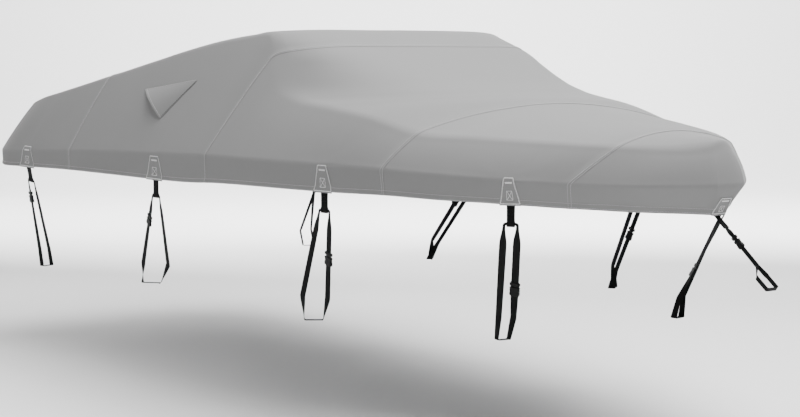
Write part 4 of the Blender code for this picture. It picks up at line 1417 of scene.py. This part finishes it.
def tab_stitches(title, width, middle, across, along, facing):
    """The crossed box that closes a tab, in black thread, on its outer face."""
    settings = bpy.context.scene.boat_cover
    corner = {
        (a, b): middle + facing * TAB_HALF_THICKNESS * 2
        + across * width * TAB_BOX_SHARE * a + along * TAB_BOX_HALF_TALL * b
        for a in (-1, 1) for b in (-1, 1)
    }
    turns = ((-1, -1), (1, -1), (1, 1), (-1, 1), (-1, -1), (1, 1))
    threads = []
    for a, b in (*zip(turns, turns[1:]), ((-1, 1), (1, -1))):
        threads += running_stitches([corner[a], corner[b]], settings.stitch_pitch * TAB_STITCH_SHARE)
    stitches("stitches_" + title, threads, settings.thread_thickness, "black thread")


def side_tab(name, side):
    """The folded tab that hangs from a side patch."""
    tie = tie_frame(name)
    title = f"tab_{name}_{side}"
    path = path_to_side(tab_path(tie), side)
    webbing(title, [path], path[0][2])
    middle = tie["root"].lerp(tie["slot"], TAB_BOX_AT) + tie["facing"] * TAB_GAP
    axes = (tie["across"], tie["pull"], tie["facing"])
    tab_stitches(title, tie["tab_width"], *(to_side(v, side) for v in (middle, *axes)))


def bow_line():
    """The bow tie's start, the way it pulls, its flat side's facing and its buckle's place."""
    start = Vector(BOW_STRAP_TOP)
    pull = (Vector(BOW_PINCH) - start).normalized()
    flat = pull.cross(Vector((0, 1, 0))).normalized()
    return start, pull, flat, start + pull * BOW_BUCKLE_AT


def bow_tab():
    """The bow's tab: two layers of webbing with the strap's end sewn between them."""
    start, pull, flat, _ = bow_line()
    row = station_at(LAST)
    top = start + Vector((row["tuck"], 0, row["drop"])).normalized() * TAB_TUCK
    end = start + pull * BOW_TAB_LENGTH
    fork = end - pull * BOW_SLOT_DEPTH
    neck = fork - pull * BOW_FORK_FLARE
    half = (BOW_TAB_WIDTH / 2, TAB_HALF_THICKNESS)
    parted = BOW_STRAP_HALF[1] + BOW_SLOT_EASE + TAB_GAP
    paths = []
    for side in (1, -1):
        line = [(top, TAB_GAP), (start, TAB_GAP), (neck, TAB_GAP)]
        for k in range(1, FORK_STEPS):
            apart = TAB_GAP + (parted - TAB_GAP) * k / FORK_STEPS
            line.append((neck.lerp(fork, k / FORK_STEPS), apart))
        line += [(fork, parted), (end, parted)]
        paths.append([(point + flat * side * out, flat, half) for point, out in line])
    webbing("tab_bow", paths, half)
    middle = fork.lerp(end, 0.5) + flat * parted
    tab_stitches("tab_bow", BOW_TAB_WIDTH, middle, Vector((0, 1, 0)), pull * BOW_BOX_SHARE, flat)


def bow_strap():
    """The short strap from the bow's tab to its buckle, twisted by a quarter turn."""
    start, pull, flat, buckle = bow_line()
    sideways = Vector((0, -1, 0))
    fork = start + pull * (BOW_TAB_LENGTH - BOW_SLOT_DEPTH)
    turn_start = start + pull * (BOW_TAB_LENGTH + BOW_STRAP_EASE)
    turn_end = buckle - pull * BUCKLE_MOUTH
    path = [(fork + pull * BOW_STRAP_EASE, flat, BOW_STRAP_HALF)]
    for i in range(FOLD_STEPS + 1):
        t = i / FOLD_STEPS
        facing = flat * math.cos(t * math.pi / 2) + sideways * math.sin(t * math.pi / 2)
        path.append((turn_start.lerp(turn_end, t), facing, BOW_STRAP_HALF))
    path.append((buckle - pull * BUCKLE_GRIP, sideways, BOW_STRAP_HALF))
    webbing("strap_bow", [path], BOW_STRAP_HALF)


def bow_loop():
    """The bow's long loop: two layers from the buckle, parted round the winch post."""
    _, pull, _, buckle = bow_line()
    pinch = Vector(BOW_PINCH)
    sideways = Vector((0, -1, 0))
    centre, axis = Vector(POST_CENTRE), Vector(POST_AXIS).normalized()
    sill = Vector((0, 1, 0)).cross(axis).normalized()
    if sill.x < 0:
        sill = -sill
    corners = [
        centre + sill * POST_HALF[0] * a + Vector((0, POST_HALF[1] * b, 0))
        for a, b in ((-1, -1), (1, -1), (1, 1), (-1, 1))
    ]
    layer = Vector((0, LAYER_OFFSET, 0))
    down = [buckle + pull * BUCKLE_GRIP, pinch - pull * BOW_LAP, pinch]
    path = [(point - layer, sideways, BOW_STRAP_HALF) for point in down]
    faces = [-sill, Vector((0, -1, 0)), sill, Vector((0, 1, 0)), -sill]
    for k, corner in enumerate(corners):
        before = corners[k - 1] if k else pinch
        after = corners[k + 1] if corner is not corners[-1] else pinch
        path += foot_bend(before, corner, after, faces[k], faces[k + 1], BOW_STRAP_HALF)
    path += [(point + layer, -sideways, BOW_STRAP_HALF) for point in reversed(down)]
    webbing("strap_bow_loop", [path], BOW_STRAP_HALF)


# ---------------------------------------------------------------- buckles

def moulded(name, outlines, half_thickness, bevel):
    """Flat outlines, with any windows in them, given a thickness and rounded edges."""
    curve = bpy.data.curves.new(name, "CURVE")
    curve.dimensions = "2D"
    curve.fill_mode = "BOTH"
    curve.extrude = half_thickness - bevel
    curve.bevel_depth = bevel
    curve.bevel_resolution = BUCKLE_BEVEL_STEPS
    curve.offset = -bevel
    for outline in outlines:
        spline = curve.splines.new("POLY")
        spline.points.add(len(outline) - 1)
        for point, (x, y) in zip(spline.points, outline):
            point.co = (x, y, 0, 1)
        spline.use_cyclic_u = True
    made = placed(name, curve)
    graph = bpy.context.evaluated_depsgraph_get()
    graph.update()
    mesh = bpy.data.meshes.new_from_object(made.evaluated_get(graph))
    bpy.data.objects.remove(made)
    bpy.data.curves.remove(curve)
    return mesh


def rounded(corners, radius, steps=4):
    """A closed outline with its corners rounded."""
    outline = []
    count = len(corners)
    for k, corner in enumerate(corners):
        here, before, after = (Vector((*corners[i % count], 0)) for i in (k, k - 1, k + 1))
        reach = min(radius, (before - here).length / 2, (after - here).length / 2)
        outline += [(p.x, p.y) for p in round_corner(before, here, after, reach, steps)]
    return outline


def both_halves(half_outline):
    """A full outline from its right half, which runs from low to high."""
    return half_outline + [(-x, y) for x, y in reversed(half_outline)]


def buckle(title, centre, leg, facing, scale=1.0, thicker=0.0):
    """A side-release buckle: a head with its arms, and the body that they snap into."""
    width_axis = facing.cross(leg).normalized()
    thick_axis = leg.cross(width_axis)
    frame_to_place = Matrix((
        (width_axis.x * scale, leg.x, thick_axis.x, centre.x),
        (width_axis.y * scale, leg.y, thick_axis.y, centre.y),
        (width_axis.z * scale, leg.z, thick_axis.z, centre.z),
        (0, 0, 0, 1),
    ))
    whole = bmesh.new()
    for k, (outlines, half_thickness) in enumerate(BUCKLE_PARTS):
        thick = half_thickness + (thicker if k == BODY_PART else 0.0)
        full = [rounded(both_halves(half), BUCKLE_CORNER) for half in outlines]
        mesh = moulded(title, full, thick, BUCKLE_BEVEL)
        mesh.transform(frame_to_place)
        whole.from_mesh(mesh)
        bpy.data.meshes.remove(mesh)
    bmesh.ops.remove_doubles(whole, verts=whole.verts, dist=PLASTIC_WELD)
    bmesh.ops.recalc_face_normals(whole, faces=whole.faces)
    made = from_mesh("moulded_" + title, whole, finish_of("moulded black plastic"))
    tidy_normals(made.data, PLASTIC_SHARP)
    dress(made, [title])


# ---------------------------------------------------------------- vent hoods

def vent_grid(side):
    """The hood's points, from its tip to its mouth, and the way from outside to the cover."""
    settings = bpy.context.scene.boat_cover
    aft, fore, low = (Vector((x, 0, height(z))) for x, z in (VENT_AFT, VENT_FORE, VENT_LOW))
    start_y = CAST_FROM if side == "starboard" else -CAST_FROM
    toward = Vector((0, -math.copysign(1, start_y), 0))
    down_steps, mouth_steps = VENT_STEPS
    grid = []
    for i in range(down_steps + 1):
        reach = VENT_TIP + (1 - VENT_TIP) * i / down_steps
        line = []
        for j in range(mouth_steps + 1):
            t = j / mouth_steps
            at_mouth = aft.lerp(low, t)
            flat = fore.lerp(at_mouth, reach)
            bulge = 4 * t * (1 - t) * reach**VENT_BULGE_POWER
            start = Vector((flat.x + VENT_DRAW * bulge, start_y, flat.z))
            point, normal = on_skin(whole_skin(), start, toward)
            from_mouth = (1 - reach) / (1 - VENT_TIP) * (fore - at_mouth).length
            off_middle = abs(from_mouth - VENT_HEM_WIDTH / 2) / VENT_HEM_WIDTH * 2
            hem = settings.vent_hem * max(0.0, 1 - off_middle)
            line.append(point + normal * (VENT_LIFT + VENT_RISE * bulge + hem))
        grid.append(line)
    flat_size = (round((fore - aft).length, 3), round((aft - low).length, 3))
    return grid, toward, flat_size


def vent_stitches(title, grid):
    """The hood's stitching: along its upper edge and its mouth, and darker along its lower edge."""
    settings = bpy.context.scene.boat_cover
    skin = skin_over(title)
    upper = [row[0].lerp(row[1], VENT_SEWN_AT) for row in grid]
    lower = [row[-1].lerp(row[-2], VENT_SEWN_AT) for row in grid]
    mouth = grid[-1 - round(VENT_STEPS[0] * VENT_HEM_WIDTH / VENT_RUN)]
    pitch, thickness = settings.stitch_pitch, settings.thread_thickness
    pale = sewn_on(skin, upper, pitch) + sewn_on(skin, mouth, pitch)
    stitches("stitches_" + title, pale, thickness)
    dark = sewn_on(skin, lower, pitch * DARK_PITCH)
    stitches(
        "dark_stitches_" + title, dark, thickness * DARK_THICKNESS, "black thread"
    )


def vent_hood(side):
    """A three-cornered hood: sewn down along two edges, with its mouth standing open."""
    title = "vent_hood_" + side
    grid, toward, flat = vent_grid(side)
    maps = [[(run, row[0].x) for run in runs_from_middle(row)] for row in grid]
    made, area = plain_sheet(title, "cover cloth", grid, maps, lambda _: -toward)
    dress(made, [title])
    vent_stitches(title, grid)


# ---------------------------------------------------------------- stage

STAGE_TARGET = (-0.4, 0.0, -0.45)
# Each light's place, what it faces, its size and the setting that has its power.
LIGHTS = {
    "key": ((1.3, 1.5, 5.8), STAGE_TARGET, 7.0, "key_power"),
    "aft fill": ((-4.5, -4.5, 5.0), STAGE_TARGET, 5.0, "aft_power"),
    "bow fill": ((5.5, -2.2, 5.0), (1.9, -0.3, -0.6), 3.0, "bow_power"),
    "wall 0": ((-9.0, 1.0, 4.5), (-14.0, 8.0, 1.5), 8.0, "wall_power"),
    "wall 1": ((-4.5, 7.5, 4.5), (-9.0, 13.0, 1.5), 8.0, "wall_power"),
}
# The floor runs towards the camera this far, then back to where it starts to curve up.
FLOOR_FRONT = 13.0
SWEEP_START = 13.0
SWEEP_RADIUS = 6.0
SWEEP_STEPS = 24
WALL_TALL = 14
STAGE_HALF_WIDTH = 45
PAPER_ROUGHNESS = 0.9
PAPER_SPECULAR = 0.1
SENSOR_WIDTH = 36.0
# How bright the sky looks past the floor's edge, which is apart from how much light it gives.
SEEN_SKY = 1.6


def look_at(made, target):
    """Turns a light or camera to look at a point."""
    made.rotation_euler = (Vector(target) - made.location).to_track_quat("-Z", "Y").to_euler()


def soft_light(name, location, target, size, power):
    """A large square light."""
    lamp = bpy.data.lights.new(name, "AREA")
    lamp.shape = "SQUARE"
    lamp.size = size
    lamp.energy = power
    made = placed(name, lamp)
    made.location = location
    look_at(made, target)
    return made


def stage_paper():
    """The floor's pale finish, which is clear from behind."""
    paper = bpy.data.materials.new("stage paper")
    paper.use_nodes = True
    tree = paper.node_tree
    colour = (*bpy.context.scene.cover_stage.floor_colour, 1)
    shade(tree, Base_Color=colour, Roughness=PAPER_ROUGHNESS, Specular_IOR_Level=PAPER_SPECULAR)
    either = add_node(tree, "ShaderNodeMixShader", {
        0: tree.nodes.new("ShaderNodeNewGeometry").outputs["Backfacing"],
        1: tree.nodes["Principled BSDF"].outputs[0],
        2: tree.nodes.new("ShaderNodeBsdfTransparent").outputs[0],
    })
    join(tree, either.outputs[0], tree.nodes["Material Output"].inputs["Surface"])
    return paper


def sweep():
    """The pale floor, which curves up into a wall far behind the cover."""
    settings = bpy.context.scene.cover_stage
    ahead = Vector((-math.cos(settings.camera_yaw), math.sin(settings.camera_yaw), 0))
    beside = Vector((ahead.y, -ahead.x, 0))
    floor = Vector((0, 0, -ORIGIN_HEIGHT))
    line = [floor - ahead * FLOOR_FRONT, floor + ahead * SWEEP_START]
    corner = floor + ahead * (SWEEP_START + SWEEP_RADIUS)
    line += bend(line[-1], corner, corner + Vector((0, 0, SWEEP_RADIUS)), SWEEP_STEPS)[1:]
    line.append(line[-1] + Vector((0, 0, WALL_TALL)))
    mesh = bmesh.new()
    edge = beside * STAGE_HALF_WIDTH
    rows = [[mesh.verts.new(point - edge), mesh.verts.new(point + edge)] for point in line]
    for (a, b), (c, d) in zip(rows, rows[1:]):
        mesh.faces.new((a, b, d, c))
    mesh.normal_update()
    mesh.faces.ensure_lookup_table()
    if mesh.faces[0].normal.z < 0:
        bmesh.ops.reverse_faces(mesh, faces=mesh.faces)
    made = from_mesh("stage floor", mesh, stage_paper())
    made.data.shade_smooth()
    return made


def stage_camera():
    """The camera, at the angle and distance that the size was worked out from."""
    settings = bpy.context.scene.cover_stage
    lens = bpy.data.cameras.new("stage camera")
    lens.sensor_width = SENSOR_WIDTH
    lens.lens = settings.lens
    made = placed("stage camera", lens)
    made.location = settings.camera_place
    pitch, yaw = settings.camera_pitch, settings.camera_yaw
    level = math.cos(pitch)
    ahead = Vector((-math.cos(yaw) * level, math.sin(yaw) * level, -math.sin(pitch)))
    look_at(made, made.location + ahead)
    bpy.context.scene.camera = made
    return made


def stage_world():
    """An even white sky that gives the light that the settings say, and looks pale itself."""
    world = bpy.data.worlds.new("stage sky")
    world.use_nodes = True
    tree = world.node_tree
    sky = tree.nodes["Background"]
    given, seen = MIX_VALUES
    strength = add_node(tree, "ShaderNodeMix", {
        MIX_FACTOR: tree.nodes.new("ShaderNodeLightPath").outputs["Is Camera Ray"],
        given: bpy.context.scene.cover_stage.sky_strength,
        seen: SEEN_SKY,
    })
    join(tree, (1, 1, 1, 1), sky.inputs["Color"])
    join(tree, strength.outputs[0], sky.inputs["Strength"])
    bpy.context.scene.world = world


# ---------------------------------------------------------------- settings

class CoverSettings(bpy.types.PropertyGroup):
    """What a user would change on the cover: its colours, its cloth and its thread."""

    cloth_colour: bpy.props.FloatVectorProperty(
        name="Cloth colour", description="Colour of the cover's coated cloth",
        default=(0.19, 0.19, 0.19), min=0, max=1, subtype="COLOR",
    )
    webbing_colour: bpy.props.FloatVectorProperty(
        name="Webbing colour", description="Colour of the tabs and straps",
        default=(0.0012, 0.0012, 0.0013), min=0, max=1, subtype="COLOR",
    )
    thread_colour: bpy.props.FloatVectorProperty(
        name="Thread colour", description="Colour of the thread in the seams and the hem",
        default=(0.50, 0.50, 0.50), min=0, max=1, subtype="COLOR",
    )
    patch_thread_colour: bpy.props.FloatVectorProperty(
        name="Patch thread colour", description="Colour of the thick thread on the patches",
        default=(0.72, 0.72, 0.72), min=0, max=1, subtype="COLOR",
    )
    plastic_colour: bpy.props.FloatVectorProperty(
        name="Plastic colour", description="Colour of the moulded buckles",
        default=(0.0012, 0.0012, 0.0013), min=0, max=1, subtype="COLOR",
    )
    cloth_thickness: bpy.props.FloatProperty(
        name="Cloth thickness", description="How thick one layer of the cover's cloth is",
        default=0.0012, min=0.0005, max=0.002, unit="LENGTH",
    )
    slack: bpy.props.FloatProperty(
        name="Slack", description="How far the cloth strays from its fitted shape between supports",
        default=0.0030, min=0, max=0.01, unit="LENGTH",
    )
    crease: bpy.props.FloatProperty(
        name="Crease", description="How high the creases are where a tie pulls on the cloth",
        default=0.0012, min=0, max=0.01, unit="LENGTH",
    )
    stitch_pitch: bpy.props.FloatProperty(
        name="Stitch pitch", description="From one stitch to the next along a seam",
        default=0.0065, min=0.002, max=0.02, unit="LENGTH",
    )
    thread_thickness: bpy.props.FloatProperty(
        name="Thread thickness", description="How thick the thread in the seams and the hem is",
        default=0.0014, min=0.0004, max=0.003, unit="LENGTH",
    )
    patch_thread: bpy.props.FloatProperty(
        name="Patch thread", description="How thick the thread on the patches is",
        default=0.0013, min=0.0004, max=0.003, unit="LENGTH",
    )
    patch_lift: bpy.props.FloatProperty(
        name="Patch lift", description="How far a patch's face stands off the cover's cloth",
        default=0.0016, min=0.001, max=0.004, unit="LENGTH",
    )
    vent_hem: bpy.props.FloatProperty(
        name="Vent hem", description="How far the hem at a vent hood's mouth stands out",
        default=0.0016, min=0, max=0.004, unit="LENGTH",
    )


class StageSettings(bpy.types.PropertyGroup):
    """Where the camera stands and how the stage is lit."""

    camera_place: bpy.props.FloatVectorProperty(
        name="Camera place", description="Where the camera stands", default=(7.214, -5.159, -0.120),
        subtype="TRANSLATION", unit="LENGTH",
    )
    camera_yaw: bpy.props.FloatProperty(
        name="Camera turn", description="How far the camera is turned from facing aft towards port",
        default=math.radians(35.797), subtype="ANGLE",
    )
    camera_pitch: bpy.props.FloatProperty(
        name="Camera tilt", description="How far the camera looks down",
        default=math.radians(5.146), subtype="ANGLE",
    )
    lens: bpy.props.FloatProperty(
        name="Lens", description="The lens's focal length in millimetres, on a 36 mm sensor",
        default=76.52,
    )
    floor_colour: bpy.props.FloatVectorProperty(
        name="Floor colour", description="Colour of the stage's floor and wall",
        default=(0.92, 0.92, 0.92), min=0, max=1, subtype="COLOR",
    )
    sky_strength: bpy.props.FloatProperty(
        name="Sky strength", description="How bright the even white sky is", default=0.02, min=0,
    )
    key_power: bpy.props.FloatProperty(
        name="Key power", description="Power of the soft light above",
        default=1480, min=0, unit="POWER",
    )
    aft_power: bpy.props.FloatProperty(
        name="Aft fill power", description="Power of the light off the starboard quarter",
        default=290, min=0, unit="POWER",
    )
    bow_power: bpy.props.FloatProperty(
        name="Bow fill power", description="Power of the light off the starboard bow",
        default=430, min=0, unit="POWER",
    )
    wall_power: bpy.props.FloatProperty(
        name="Wall power", description="Power of the lights on the wall behind",
        default=2600, min=0, unit="POWER",
    )


# ---------------------------------------------------------------- operators

def need_panels(step):
    """Stops with a plain message where the panels aren't sewn yet."""
    if not all(name in SKINS for name in PANELS):
        raise RuntimeError("The panels are sewn before their " + step)


class BOATCOVER_OT_panels(bpy.types.Operator):
    """Sew the five panels of the cover, stern to bow"""

    bl_idname = "boat_cover.panels"
    bl_label = "Panels"

    def execute(self, context):
        for name in PANELS:
            panel(name)
        return {"FINISHED"}


class BOATCOVER_OT_seams(bpy.types.Operator):
    """Stitch the lapped seams and the rolled hem"""

    bl_idname = "boat_cover.seams"
    bl_label = "Seams and hem"

    def execute(self, context):
        need_panels("seams")
        seam_stitches()
        hem_stitches()
        return {"FINISHED"}


class BOATCOVER_OT_patches(bpy.types.Operator):
    """Sew the patches on the hem"""

    bl_idname = "boat_cover.patches"
    bl_label = "Patches"

    def execute(self, context):
        need_panels("patches")
        for name, side in SIDE_TIES:
            side_patch(name, side)
        bow_patch()
        return {"FINISHED"}


class BOATCOVER_OT_tabs(bpy.types.Operator):
    """Fold the webbing tabs that hang from the patches"""

    bl_idname = "boat_cover.tabs"
    bl_label = "Tabs"

    def execute(self, context):
        for name, side in SIDE_TIES:
            side_tab(name, side)
        bow_tab()
        return {"FINISHED"}


class BOATCOVER_OT_straps(bpy.types.Operator):
    """Run the straps through the tabs, and the bow's loop round the winch post"""

    bl_idname = "boat_cover.straps"
    bl_label = "Straps"

    def execute(self, context):
        for name, side in SIDE_TIES:
            path, _, _ = strap_path(tie_frame(name))
            webbing(f"strap_{name}_{side}", [path_to_side(path, side)], STRAP_HALF)
        bow_strap()
        bow_loop()
        return {"FINISHED"}


class BOATCOVER_OT_buckles(bpy.types.Operator):
    """Mould the buckles that join the straps' ends"""

    bl_idname = "boat_cover.buckles"
    bl_label = "Buckles"

    def execute(self, context):
        for name, side in SIDE_TIES:
            tie = tie_frame(name)
            _, centre, leg = strap_path(tie)
            place = (to_side(v, side) for v in (centre, leg, tie["facing"]))
            buckle(f"buckle_{name}_{side}", *place)
        _, pull, _, centre = bow_line()
        buckle("buckle_bow", centre, pull, Vector((0, -1, 0)), BOW_BUCKLE_SCALE, LAYER_OFFSET)
        return {"FINISHED"}


class BOATCOVER_OT_vents(bpy.types.Operator):
    """Sew the vent hoods on the cockpit sides"""

    bl_idname = "boat_cover.vents"
    bl_label = "Vent hoods"

    def execute(self, context):
        need_panels("vent hoods")
        for side in SIDES:
            vent_hood(side)
        return {"FINISHED"}


class BOATCOVER_OT_stage(bpy.types.Operator):
    """Set the floor, the lights and the camera"""

    bl_idname = "boat_cover.stage"
    bl_label = "Stage"

    def execute(self, context):
        settings = context.scene.cover_stage
        stage_world()
        lights = [
            soft_light(name, place, target, size, getattr(settings, power))
            for name, (place, target, size, power) in LIGHTS.items()
        ]
        sweep()
        stage_camera()
        return {"FINISHED"}


class BOATCOVER_PT_steps(bpy.types.Panel):
    """The cover's steps and settings"""

    bl_label = "Boat cover"
    bl_idname = "BOATCOVER_PT_steps"
    bl_space_type = "VIEW_3D"
    bl_region_type = "UI"
    bl_category = "Boat cover"

    def draw(self, context):
        column = self.layout.column(align=True)
        for step in STEPS:
            column.operator(step.bl_idname)
        for settings in (context.scene.boat_cover, context.scene.cover_stage):
            for name in settings.__annotations__:
                self.layout.prop(settings, name)


STEPS = (
    BOATCOVER_OT_panels, BOATCOVER_OT_seams, BOATCOVER_OT_patches, BOATCOVER_OT_tabs,
    BOATCOVER_OT_straps, BOATCOVER_OT_buckles, BOATCOVER_OT_vents, BOATCOVER_OT_stage,
)
CLASSES = (CoverSettings, StageSettings, *STEPS, BOATCOVER_PT_steps)


def register():
    for item in CLASSES:
        bpy.utils.register_class(item)
    bpy.types.Scene.boat_cover = bpy.props.PointerProperty(type=CoverSettings)
    bpy.types.Scene.cover_stage = bpy.props.PointerProperty(type=StageSettings)


def unregister():
    del bpy.types.Scene.cover_stage
    del bpy.types.Scene.boat_cover
    for item in reversed(CLASSES):
        bpy.utils.unregister_class(item)


def main():
    """Makes every piece in order."""
    register()
    bpy.ops.boat_cover.panels()
    bpy.ops.boat_cover.seams()
    bpy.ops.boat_cover.patches()
    bpy.ops.boat_cover.tabs()
    bpy.ops.boat_cover.straps()
    bpy.ops.boat_cover.buckles()
    bpy.ops.boat_cover.vents()
    bpy.ops.boat_cover.stage()


if __name__ == "__main__":
    main()
